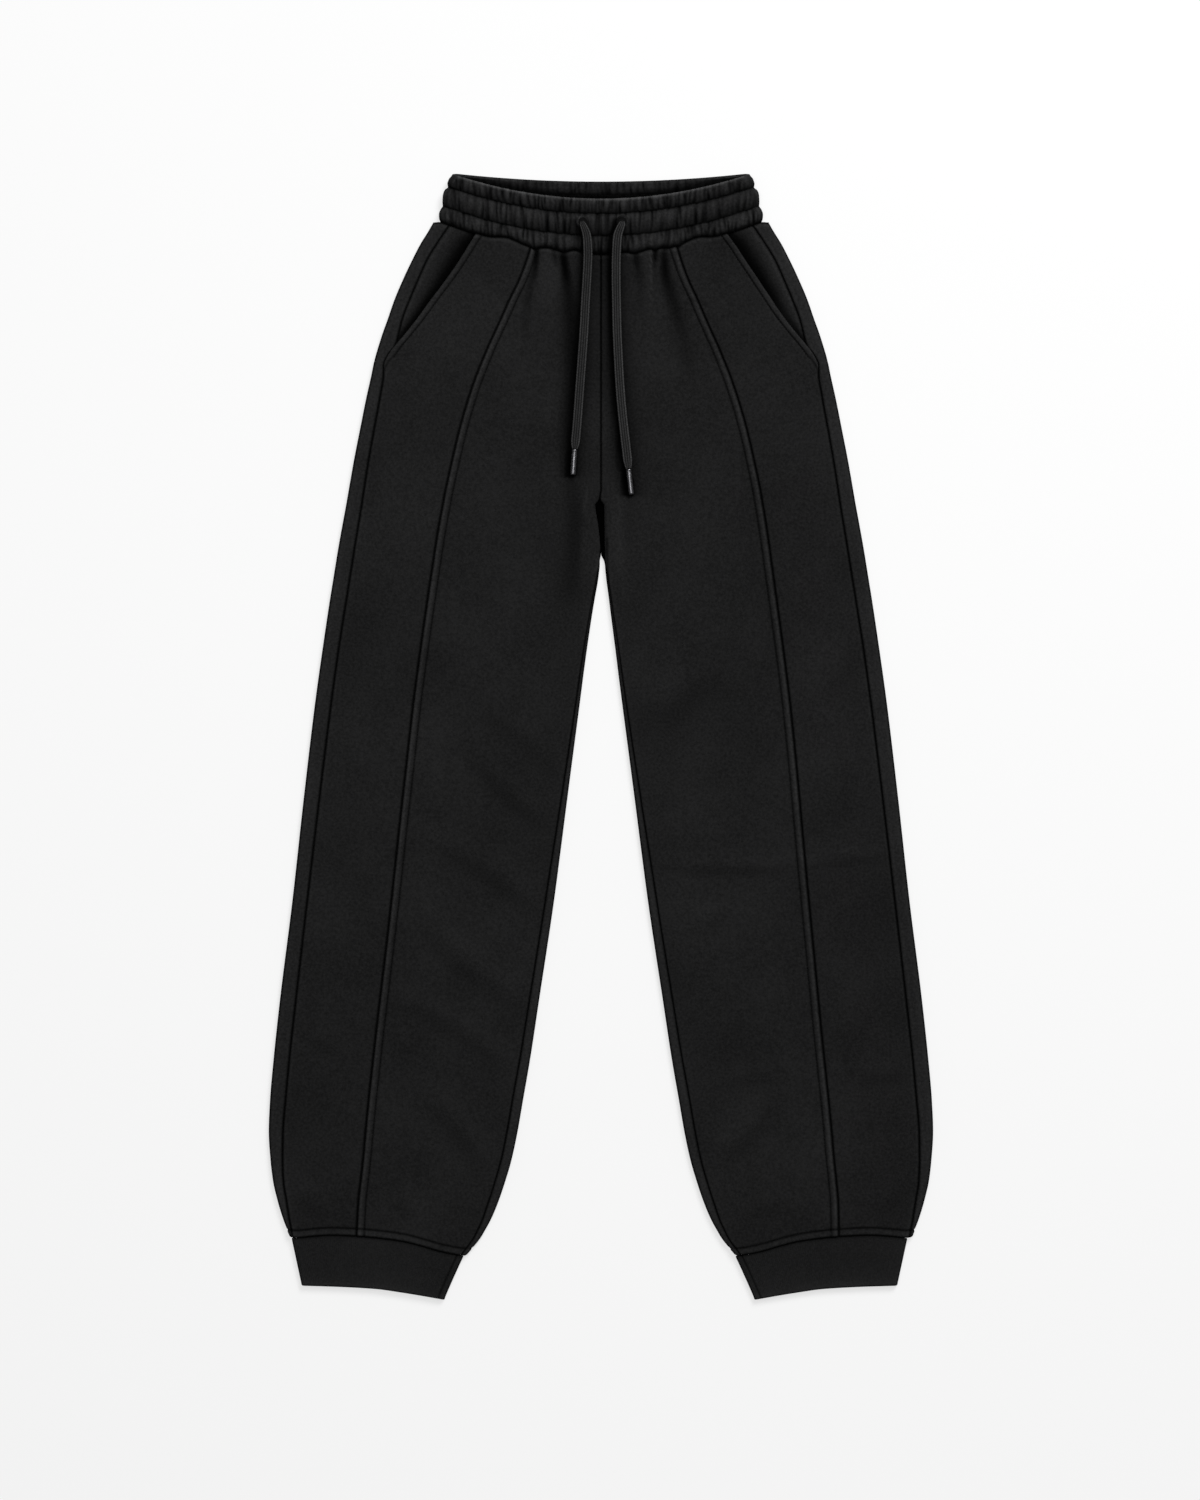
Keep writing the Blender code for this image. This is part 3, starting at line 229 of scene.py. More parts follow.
class Track:
    """A smooth line through given stations that never overshoots them."""

    def __init__(self, at: Grid, value: Grid) -> None:
        """Sort the stations and settle the slope at each.

        Args:
            at: where each station lies.
            value: the line's value there.
        """
        order = np.argsort(at)
        self.at, self.value = np.asarray(at, float)[order], np.asarray(value, float)[order]
        step = np.diff(self.at)
        rise = np.diff(self.value) / step
        slope = np.zeros(len(self.at))
        slope[0], slope[-1] = rise[0], rise[-1]
        for i in range(1, len(rise)):
            if rise[i - 1] * rise[i] > 0.0:
                near, far = 2 * step[i] + step[i - 1], step[i] + 2 * step[i - 1]
                slope[i] = (near + far) / (near / rise[i - 1] + far / rise[i])
        self.slope = slope

    def __call__(self, at: Grid) -> Grid:
        """The line's value at each of the given places.

        Args:
            at: the places.

        Returns:
            The values.
        """
        at = np.clip(at, self.at[0], self.at[-1])
        i = np.clip(np.searchsorted(self.at, at, side="right") - 1, 0, len(self.at) - 2)
        step = self.at[i + 1] - self.at[i]
        t = (at - self.at[i]) / step
        values = (2 * t ** 3 - 3 * t ** 2 + 1) * self.value[i] + (3 * t ** 2 - 2 * t ** 3) * self.value[i + 1]
        slopes = (t ** 3 - 2 * t ** 2 + t) * self.slope[i] + (t ** 3 - t ** 2) * self.slope[i + 1]
        return values + step * slopes


class Unevenness:
    """Smooth seeded variation, so that no two stretches of cloth are the same."""

    SIZE = 128

    def __init__(self, seed: int) -> None:
        """Draw the lattice of values once, from a fixed seed."""
        self.lattice = np.random.default_rng(seed).uniform(-1.0, 1.0, (self.SIZE, self.SIZE))

    def __call__(self, x: Grid, y: Grid) -> Grid:
        """Values between about -1 and 1 at points given in lattice steps.

        Args:
            x, y: the places.

        Returns:
            The values.
        """
        x, y = np.broadcast_arrays(np.asarray(x, float), np.asarray(y, float))
        i, j = np.floor(x).astype(int), np.floor(y).astype(int)
        u, v = smoothstep(x - i), smoothstep(y - j)
        left, right, near, far = i % self.SIZE, (i + 1) % self.SIZE, j % self.SIZE, (j + 1) % self.SIZE
        low = self.lattice[left, near] * (1 - u) + self.lattice[right, near] * u
        high = self.lattice[left, far] * (1 - u) + self.lattice[right, far] * u
        return low * (1 - v) + high * v


def along_line(x: Grid, y: Grid, start: Point, end: Point) -> tuple[Grid, Grid, float]:
    """Share of the way along a line, distance to its left, and the line's length.

    Args:
        x, y: the places.
        start, end: the line's ends.

    Returns:
        The share, the distance and the length.
    """
    run = np.array(end, dtype=float) - np.array(start, dtype=float)
    length = float(np.hypot(*run))
    share = ((x - start[0]) * run[0] + (y - start[1]) * run[1]) / length ** 2
    across = ((y - start[1]) * run[0] - (x - start[0]) * run[1]) / length
    return share, across, length


@dataclass(frozen=True)
class Crease:
    """A soft trough with a ridge along one side, bent a little between its ends."""

    start: Point
    end: Point
    half_width: float
    depth: float
    bend: float = 0.0
    ridge: float = 0.5

    def height(self, x: Grid, y: Grid) -> Grid:
        """Height that the crease adds at (x, y), x signed.

        Args:
            x, y: the places, x signed.

        Returns:
            The height.
        """
        along, across, _ = along_line(x, y, self.start, self.end)
        across = across - self.bend * 4.0 * along * (1.0 - along)
        fade = np.clip(4.0 * (along + 0.12) * (1.12 - along) / 1.54, 0.0, 1.0) ** 1.3
        ridge = bell(across - 1.9 * self.half_width, 1.2 * self.half_width)
        return self.depth * fade * (self.ridge * ridge - bell(across, self.half_width))


@dataclass(frozen=True)
class Gather:
    """A fold or puff that starts at the waist seam and runs out below it."""

    top: Point
    end: Point
    half_width: float
    height: float
    spread: float = 1.0

    def at(self, x: Grid, y: Grid) -> Grid:
        """Height that the gather adds at (x, y), x signed.

        Args:
            x, y: the places, x signed.

        Returns:
            The height.
        """
        along, across, length = along_line(x, y, self.top, self.end)
        share = np.clip(along, 0.0, 1.0)
        away = np.hypot((along - share) * length, across)
        width = self.half_width * (1.0 + self.spread * share)
        return self.height * bell(away, width) * (1.0 - share) ** 0.8


@dataclass(frozen=True)
class Furrow:
    """A fold running down the front, as stations of y, x, half-width and depth of shade."""

    stations: tuple[tuple[float, float, float, float], ...]

    def depth(self, x: Grid, y: Grid) -> Grid:
        """How deep the fold is at (x, y), x signed.

        Args:
            x, y: the places, x signed.

        Returns:
            The depth of shade.
        """
        at, *columns = np.array(self.stations).T
        centre, half_width, deep = (Track(at, column)(y) for column in columns)
        return deep * bell(x - centre, half_width)


# Puffs under the waistband, x signed: top, lower end, half-width, height, how much it widens
GATHERS = tuple(Gather(*row) for row in (
    ((-50.5, 460), (-51.5, 395), 7.5, 1.5, 0.8), ((-24, 458), (-22.5, 430), 3.6, 0.9, 0.5),
    ((25.5, 458), (25, 428), 5, 0.9), ((43.5, 459), (45, 380), 5, 1.2, 0.9),
    ((48.2, 459), (48, 414), 1.4, 0.9, 0.4), ((-90, 470), (-92, 430), 12, 1.3, 0.6),
    ((90, 470), (92, 430), 12, 1.3, 0.6), ((-128, 476), (-136, 452), 8, 0.6, 0.6),
    ((128, 476), (136, 452), 8, 0.6, 0.6)))

# Folds that start at the waist seam: beside each princess seam, the long one beside the
# right drawcord, and the short ones of the left half; each station's y, x, half-width, depth
FURROWS = tuple(Furrow(stations) for stations in (
    ((457, -60.5, 2.1, 2.5), (446, -61.5, 2.4, 2.1), (438, -62.5, 2.6, 1.5), (426, -66, 3.4, 0.8),
     (412, -68.5, 3.6, 0.6), (390, -71, 4, 0.35), (372, -72, 4, 0)),
    ((457, -36, 4.2, 1.4), (448, -35, 3, 3.3), (438, -33.4, 3.4, 3.1), (426, -32, 4.8, 1.8),
     (412, -30.6, 6.3, 1.3), (393, -28.4, 8, 1.1), (337, -26, 9, 1.1), (289, -29.5, 8.5, 0.9),
     (242, -28, 9.5, 0.55), (204, -24.5, 9, 0.85), (168, -25.5, 9, 0.7), (120, -29, 11, 0)),
    ((457, -44.5, 1.8, 1.3), (449, -43, 2, 0.9), (441, -40.5, 2.4, 0)),
    ((457, 32.6, 2.2, 1.8), (448, 33.4, 2.8, 1.6), (440, 35, 3.8, 0.9), (420, 37.5, 5, 0.35),
     (396, 36, 6, 0)),
    ((457, 51, 2, 2.7), (450, 50.8, 2, 2.3), (444, 50, 1.9, 1), (430, 49.6, 1.8, 0.45), (402, 49.4, 1.8, 0)),
    ((457, 47.2, 1.2, -0.6), (438, 47.3, 1.2, -0.6), (406, 47.4, 1.2, 0)),
    ((240, -13.2, 1.6, 0), (222, -14.6, 1.8, -0.4), (190, -16, 2, -0.35), (160, -16.6, 2.4, -0.2),
     (130, -18, 3, 0)),
    ((250, 15, 3.5, 0), (215, 16.5, 4, -0.25), (180, 18.5, 4.5, -0.22), (120, 22, 5, 0)),
    ((457, 59.4, 2.4, 1.5), (446, 59.8, 3.6, 2.2), (438, 60.4, 4.2, 2.2), (426, 62.8, 5.4, 1.6),
     (412, 67, 6, 1.15), (393, 72.5, 7, 0.8), (369, 78.5, 8, 0.5), (330, 84, 9, 0))))

# How far the panels puff up into the waistband along the seam, or dip away from it between
# two puffs: x signed, rise, half-width
SEAM_PUFFS = (
    (-88, 4.6, 15), (-49, 2, 9.5), (-24.8, 2.5, 7), (0, -0.6, 9), (45.5, 1.4, 6), (57.5, 1.4, 3.8),
    (90, 4.4, 14), (22, 0.8, 5), (-116, 0.9, 8), (118, 0.6, 8), (-63, -1.6, 2.6), (-35, -0.4, 3),
    (30.5, -1, 3.4), (50.8, -1, 1.8), (74, -1.4, 2.4))

# Soft creases of the upper side and of the underside: start, end, half-width, depth, bend
FRONT_CREASES = tuple(Crease(*row) for row in (
    ((-112, 22), (-40, -44), 8, 0.8, 3), ((-128, -14), (-52, -90), 7.5, 1, -4),
    ((-180, -100), (-60, -172), 9, 1.1, 8), ((-176, -176), (-78, -256), 9, 1, -7),
    ((-204, -250), (-102, -308), 8, 1, 6), ((-288, -278), (-244, -306), 6.5, 0.8, 0),
    ((-170, -342), (-128, -392), 8.5, 0.9, 4), ((-140, -372), (-112, -418), 9, 0.8, 3),
    ((-195.7, -438.5), (-179.6, -458.3), 7, 0.7, 0), ((-292, -434.7), (-259.9, -454.5), 8, 0.8, 0),
    ((-252, -120), (-212, -160), 13, 0.5, 2), ((-232, 60), (-196, 10), 14, 0.5, 3),
    ((53.5, 4.2), (113.9, 52.4), 14, 0.9, 4), ((50, -124), (190, -126.5), 5, 1.1, -3),
    ((194, -126), (276, -117), 5, 0.9, 2), ((93.2, -189.3), (121.5, -168.5), 8, 0.7, 0),
    ((100, -336), (182, -322), 7, 0.7, 3), ((112, -404), (168, -346), 9, 0.9, -4),
    ((246.1, -326.2), (286.7, -323), 7, 0.8, 0), ((133.8, -458.3), (174.4, -442.3), 7, 0.7, 0),
    ((258, -452), (286, -436), 7, 0.6, 0), ((206, 30), (246, 78), 14, 0.5, -3),
    ((28, 150), (27.5, 240), 9, 0.7, 2, 0.6), ((-64, 205), (-30, 120), 16, 0.5, 4),
    ((34, 112), (72, 200), 16, 0.5, -4)))
BACK_CREASES = tuple(Crease(*row, ridge=0.0) for row in (
    ((-150, 300), (-60, 236), 17, 0.8, 6), ((48, 222), (160, 292), 18, 0.8, -6),
    ((-170, 20), (-90, -30), 16, 0.9, 5), ((-190, -120), (-96, -168), 17, 0.8, -5),
    ((-150, -352), (-120, -420), 12, 0.9, 3), ((88, -20), (170, 36), 16, 0.8, -4),
    ((96, -140), (220, -128), 13, 0.9, 3), ((120, -250), (196, -222), 14, 0.7, 0),
    ((136, -410), (176, -346), 13, 0.9, -3)))


# y of each line across the waistband: in the middle, and its rise from there to the ends
PANEL_TOP, FRONT_SEAM, FRONT_RIM = (454.8, BAND_BOW), (455.5, BAND_BOW), (506.6, 27.4)
BACK_SEAM, BACK_RIM = (475.5, 10.2), (523.5, 9.2)
CUFF_TRACK = Track(CUFF_SEAM[:, 0], CUFF_SEAM[:, 1])
HEM_TRACK = Track(CUFF_HEM[:, 0], CUFF_HEM[:, 1])
LINES = {name: Track(OUTLINE[:, 0], OUTLINE[:, i + 1]) for i, name in enumerate(COLUMNS)}
LINES["front_edge"] = Track(OUTLINE[:, 0], np.append(MOUTH_EDGE, OUTLINE[len(MOUTH_EDGE):, 2]))
# Both princess seams lie askew by this much towards +x, y by y
PRINCESS_SKEW = Track([484, 440, 374, 261, 148, -22, -79, -192, -305, -409, -472],
                      [2.8, 2.6, 2.1, 1.9, 1.0, 0.3, -0.3, -1.2, -2.3, -2.4, -3.2])
# The left pocket mouth lies further out by this much, y by y
MOUTH_SKEW = Track([484, 470, 458, 438, 418, 402, 300], [0.2, 1.2, 2.5, 2.6, 1.3, 0, 0])
# Both cuffs lie askew by this much towards +x
CUFF_SKEW = -1.4
# The slot at the crotch leans by this much towards +x, y by y
SLOT_SKEW = Track([232, 226, 221, 195, 176, 150, 110, 60], [0, -1.0, -1.3, 0.6, 1.4, 1.2, 0.4, 0])
BROAD, MEDIUM, FINE = Unevenness(3), Unevenness(11), Unevenness(29)


def bowed(line: Point, x: Grid) -> Grid:
    """y at a signed x of a line across the waistband, flat past its ends."""
    return line[0] + line[1] * (np.minimum(np.abs(x), SEAM_FLATTENS_AT) / BAND_HALF_WIDTH) ** 2


def waist_seam(x: Grid, front_share: Grid) -> Grid:
    """y of the waist seam from the back wall (0) to the front wall (1), x signed.

    Args:
        x: the signed place across.
        front_share: from the back wall to the front wall.

    Returns:
        The seam's y.
    """
    front = bowed(PANEL_TOP, x)
    for at, rise, half_width in SEAM_PUFFS:
        front = front + rise * bell(x - at, half_width)
    return bowed(BACK_SEAM, x) * (1.0 - front_share) + front * front_share


def cuff_seam(x: Grid, front_share: Grid) -> Grid:
    """y of the cuff seam: straight across the back wall (0), bowed on the front wall (1).

    Args:
        x: the place across.
        front_share: from the back wall to the front wall.

    Returns:
        The seam's y.
    """
    (x0, y0), (x1, y1) = CUFF_SEAM[0], CUFF_SEAM[-1]
    straight = y0 + (y1 - y0) * (np.clip(x, x0, x1) - x0) / (x1 - x0)
    return straight + (CUFF_TRACK(x) - straight) * front_share


def edge_height(y: Grid) -> Grid:
    """Height of the flattened leg at its folded edges."""
    return LEG_HEIGHT + WAIST_RISE * smoothstep((y - RISE_START_Y) / (WAIST_LINE_Y - RISE_START_Y))


def inner_edge(y: Grid) -> Grid:
    """The inner folded edge; in the body its turn ends on the centre line."""
    return np.where(y >= CROTCH_FRONT_Y, -edge_height(y) / 2, LINES["fold_in"](y))


def inseam_turn(y: Grid) -> Grid:
    """Where the inseam or the centre-front seam lies round the inner fold."""
    return np.where(y >= CROTCH_FRONT_Y, math.pi * edge_height(y) / 2, LINES["inseam"](y))


@dataclass(frozen=True)
class CordBed:
    """The cloth beside a drawcord, shaded by the cord; darkest on its -x side."""

    side: Side
    reach: float = 5.3
    tip_reach: float = 3.7
    head_y: float = 489.0

    def shade(self, x: Grid, y: Grid) -> Grid:
        """Depth of the shade that the cord and its tip throw.

        Args:
            x, y: the place, x signed.

        Returns:
            The depth, 0 away from the cord.
        """
        route = np.array(ROUTES[self.side.word])[:, :2]
        cord_end = route[-1]
        tip_end = cord_end + np.array(TIP_HEADINGS[self.side.word][:2])
        off = x - Track(np.append(route[:, 1], tip_end[1]), np.append(route[:, 0], tip_end[0]))(y)
        deep, wide, far = (2.3, 1.0, 1.0) if self.side is Side.LEFT else (1.2, 0.75, 0.8)
        on_tip = smoothstep((cord_end[1] - y) / 3.0)
        deep, reach = deep + 1.2 * on_tip, self.reach - (self.reach - self.tip_reach) * on_tip
        before, after = np.minimum(off + reach, 0.0), np.maximum(off - reach, 0.0)
        dark = deep * bell(before, 3.0) + wide * bell(before, 8.5)
        shade = np.where(off < 0.0, dark, far * np.exp(-after / 5.5))
        return shade * smoothstep((y - tip_end[1] + 2.0) / 3.0) * smoothstep((self.head_y - y) / 4.0)


def cord_shade(x: Grid, y: Grid) -> Grid:
    """Shade of both drawcords on the cloth at (x, y), x signed."""
    return sum(CordBed(side).shade(x, y) for side in Side)


@dataclass
class Half:
    """The shared form of one half of the trousers, x counted from the centre line."""

    side: Side
    # puff_tone, crease_tone and fold_tone set the painted shade and highlight of puffs, creases and folds;
    # the last two, the painted highlights along the outer and inner edges
    puff_tone: float = 0.16
    crease_tone: float = 0.3
    fold_tone: float = 1.12
    fold_depth: float = 0.75
    end_fade: float = 9.0
    hem_lift: float = 0.95
    outer_highlight: float = 0.42
    inner_highlight: float = 0.4

    def princess(self, y: Grid) -> Grid:
        """x of the princess seam."""
        return LINES["princess"](y) + self.side.value * PRINCESS_SKEW(y)

    def mouth(self, y: Grid) -> Grid:
        """x of the pocket mouth and, below it, of the outseam."""
        return LINES["front_edge"](y) + (MOUTH_SKEW(y) if self.side is Side.LEFT else 0.0)

    def inside(self, y: Grid) -> Grid:
        """The inner folded edge of this half."""
        return inner_edge(y) + self.side.value * SLOT_SKEW(y)

    def row_to_y(self, row: Grid, x: Grid, front_share: Grid) -> Grid:
        """Fan straight rows out to the curved waist and cuff seams.

        Args:
            row: the row's own y before it is fanned.
            x: distance from the centre line.
            front_share: 0 on the back wall, 1 on the front.

        Returns:
            The y where the row lies.
        """
        top = waist_seam(x * self.side.value, front_share) - SEAM_HALF_GAP
        low = cuff_seam(x, front_share) + SEAM_HALF_GAP
        above = HIP_Y + (row - HIP_Y) / (TOP_Y - HIP_Y) * (top - HIP_Y)
        below = CALF_Y + (row - CALF_Y) / (BOTTOM_Y - CALF_Y) * (low - CALF_Y)
        return np.where(row > HIP_Y, above, np.where(row < CALF_Y, below, row))

    def settle(self, row: Grid, find_x: Callable[[Grid], Grid], front_share: Grid = 1.0) -> Walls:
        """Find where fanned rows meet a line whose x depends on y.

        Args:
            row: the fanned rows.
            find_x: the line's x at any y.
            front_share: from the back wall to the front wall.

        Returns:
            x and y of the crossings.
        """
        y = row + 0.0 * find_x(row)
        for _ in range(8):
            y = self.row_to_y(row, find_x(y), front_share)
        return find_x(y), y

    def front_form(self, x: Grid, y: Grid) -> Walls:
        """The cloth on the upper side, without its seams.

        Args:
            x, y: the place.

        Returns:
            The top of the cloth, and the painted shade and highlight of its creases, puffs and folds, with
            the drawcords' painted shadow.
        """
        radius = edge_height(y) / 2
        inner = np.maximum(0.0, inner_edge(y) + radius)
        outer = LINES["fold_out"](y) - radius
        middle, half = (inner + outer) / 2, (outer - inner) / 2
        crown = CROWN * np.clip(1.0 - np.abs((x - middle) / half) ** 2.6, 0.0, 1.0)
        signed = x * self.side.value
        inner_fade = np.where(y >= CROTCH_FRONT_Y - 12.0, 1.0, smoothstep((x - inner) / self.end_fade))
        relief = sum(crease.height(signed, y) for crease in FRONT_CREASES)
        relief = relief + 0.40 * BROAD(signed / 74.0 + 9.3, y / 96.0) + 0.16 * MEDIUM(signed / 27.0, y / 36.0)
        relief = relief * inner_fade * smoothstep((outer - x) / self.end_fade)
        puffs = sum(gather.at(signed, y) for gather in GATHERS)
        folds = sum(furrow.depth(signed, y) for furrow in FURROWS)
        # painted highlight on crease ridges and puffs, painted shade in troughs, in folds and in the
        # drawcords' shadow
        tone = self.crease_tone * relief + self.puff_tone * puffs
        tone = tone - self.fold_tone * (folds + cord_shade(signed, y))
        return edge_height(y) + crown + relief + puffs - self.fold_depth * folds, tone

    def front_top(self, x: Grid, y: Grid) -> Grid:
        """Top of the cloth on the upper side."""
        return self.front_form(x, y)[0]

    def fold(self, s: Grid, y: Grid, outward: int) -> tuple[Grid, Grid, Grid, Grid, Grid]:
        """The cloth round a folded edge of the leg and on over its top.

        Args:
            s: arc length from the floor round the fold.
            y: place along the leg.
            outward: 1 for the outer fold, -1 for the inner one.

        Returns:
            x and z of the surface, the outward normal's x and z, and the share of the
            turn from the floor (0) to the top (1).
        """
        radius = edge_height(y) / 2
        edge = LINES["fold_out"](y) if outward > 0 else self.inside(y)
        half_turn = math.pi * radius
        angle = np.clip(s, 0.0, half_turn) / radius
        over = s > half_turn
        centre = edge - outward * radius
        x = np.where(over, centre - outward * (s - half_turn), centre + outward * radius * np.sin(angle))
        z = np.where(over, self.front_top(x, y), radius - radius * np.cos(angle))
        nx = np.where(over, 0.0, outward * np.sin(angle))
        nz = np.where(over, 1.0, -np.cos(angle))
        return x, z, nx, nz, (1.0 - np.cos(angle)) / 2

    def hem_relief(self, x: Grid, y: Grid, front_share: Grid) -> Grid:
        """The raised, topstitched band along the cuff seam on the back (0) or front wall (1).

        Args:
            x, y: the places.
            front_share: from the back wall to the front wall.

        Returns:
            The height change.
        """
        distance = y - cuff_seam(x, front_share) - SEAM_HALF_GAP
        bumps = 1.0 + 0.55 * FINE(x / 6.5 + 40.0 * self.side.value, 3.7)
        ridge = bumps * smoothstep(distance / 1.6) * (1.0 - smoothstep((distance - 5.0) / 2.0))
        hem = self.hem_lift * ridge + HEM_GROOVE(distance)
        return np.where(distance < 24.0, hem, 0.0) - rolled(distance, 1.3)

    def below_waist(self, x: Grid, y: Grid) -> Grid:
        """Distance below the waist seam on the front."""
        return waist_seam(x * self.side.value, 1.0) - SEAM_HALF_GAP - y

    def waist_relief(self, x: Grid, y: Grid) -> Grid:
        """The panels' upper edge turning down into the waist seam."""
        distance = self.below_waist(x, y)
        return WAIST_PUFF(distance) - 1.15 * rolled(distance, 1.9)

    def seam_relief(self, x: Grid, y: Grid) -> Grid:
        """Height change along the waist and cuff seams of the front."""
        return self.hem_relief(x, y, 1.0) + self.waist_relief(x, y)

    def edge_tone(self, x: Grid, y: Grid) -> Grid:
        """Painted shade and highlight along the waist and cuff seams and on the rims of the folded edges.

        Args:
            x, y: the place.

        Returns:
            The tone.
        """
        seams = bands(self.below_waist(x, y), WAIST_TONE) + bands(y - cuff_seam(x, 1.0), HEM_TONE)
        # painted highlight along the outer edge and, below the crotch, along the inner edge; on the left half
        # a line of painted shade in the slot
        outer = self.outer_highlight * np.exp(-np.maximum(0.0, LINES["fold_out"](y) - x) / 4.5)
        to_edge = np.maximum(0.0, x - self.inside(y))
        inner = np.where(y < CROTCH_BACK_Y, self.inner_highlight * bell(to_edge, 4.4), 0.0)
        if self.side is Side.LEFT:
            reach = smoothstep((192.0 - y) / 8.0) * smoothstep((y - 144.0) / 8.0)
            inner = inner + reach * SLOT_LINE(to_edge)
        return seams + outer + inner + self.rim_tone(x, y)

    def rim_tone(self, x: Grid, y: Grid) -> Grid:
        """Thin shade where the leg turns down at its folded edges.

        Args:
            x, y: the places.

        Returns:
            The tone.
        """
        outer = np.maximum(0.0, LINES["fold_out"](y) - x)
        inner = np.maximum(0.0, x - self.inside(y))
        return OUTER_RIM(outer) + INNER_RIM(inner) * smoothstep((CROTCH_BACK_Y + 6.0 - y) / 6.0)


def seam_ridge(distance: Grid, along: Grid, seed: float, height: float = 0.72) -> Grid:
    """A seam allowance pressed to one side and topstitched, seen through the cloth.

    Args:
        distance: distance from the seam.
        along: place along the seam, for its small puckers.
        seed: which stretch of the variation this seam uses.
        height: how far the allowance lifts the cloth.

    Returns:
        The height change.
    """
    pucker = 1.0 + 0.3 * FINE(along / 9.0, seed) + 0.12 * FINE(along / 3.8, seed + 17.0)
    ridge = height * pucker * smoothstep(distance / 1.4) * (1.0 - smoothstep((distance - 5.2) / 1.9))
    return ridge + (1.0 + 0.25 * FINE(along / 5.0, seed + 5.0)) * STITCH_GROOVE(distance)


def panel_rows() -> Grid:
    """y of each mesh row from the waist seam to the cuff seam.

    Returns:
        The rows, from the top down.
    """
    return np.concatenate([
        [484.0, 483.6, 483.2, 482.7, 482.1, 481.4, 480.5], np.arange(479.0, 401.0, -2.0),
        np.arange(400.0, 236.0, -2.8), np.arange(235.0, 150.0, -1.8), np.arange(149.0, -440.0, -3.6),
        np.arange(-441.0, -460.0, -2.0), np.arange(-461.5, -471.0, -0.7),
        [-471.2, -471.45, -471.65, -471.8, -471.92, -472.0]])


# Mesh columns: up to a topstitched seam, from a plain one, from the inseam, over the facing
TO_SEAM = np.array([[11, 9.6, 8.6, 7.95, 7.55, 7.2, 6.85, 6.5, 6.1, 5.6, 4.9, 4, 3.1, 2.3, 1.7, 1.25, 0.85,
                     0.55, 0.3, 0.12, 0]])
NEAR_PLAIN = np.array([[0, 0.12, 0.3, 0.55, 0.85, 1.25, 1.7, 2.3, 3.2, 4.4, 6.0]])
NEAR_CENTRE = np.array([[0, 0.12, 0.3, 0.55, 0.85, 1.25, 1.8, 2.5, 3.4, 4.4, 5.5, 6.7, 7.8]])
OVER_FACING = np.array([[0, 0.015, 0.04, 0.08, 0.14, 0.22, 0.32, 0.43, 0.54, 0.64, 0.73, 0.81, 0.88, 0.94,
                         1]])


def place_object(name: str, data: bpy.types.ID) -> Piece:
    """A new object of the given data, in the scene at the origin.

    Args:
        name: the object's name.
        data: its mesh, curve, camera or light.

    Returns:
        The object.
    """
    made = bpy.data.objects.new(name, data)
    bpy.context.scene.collection.objects.link(made)
    return made


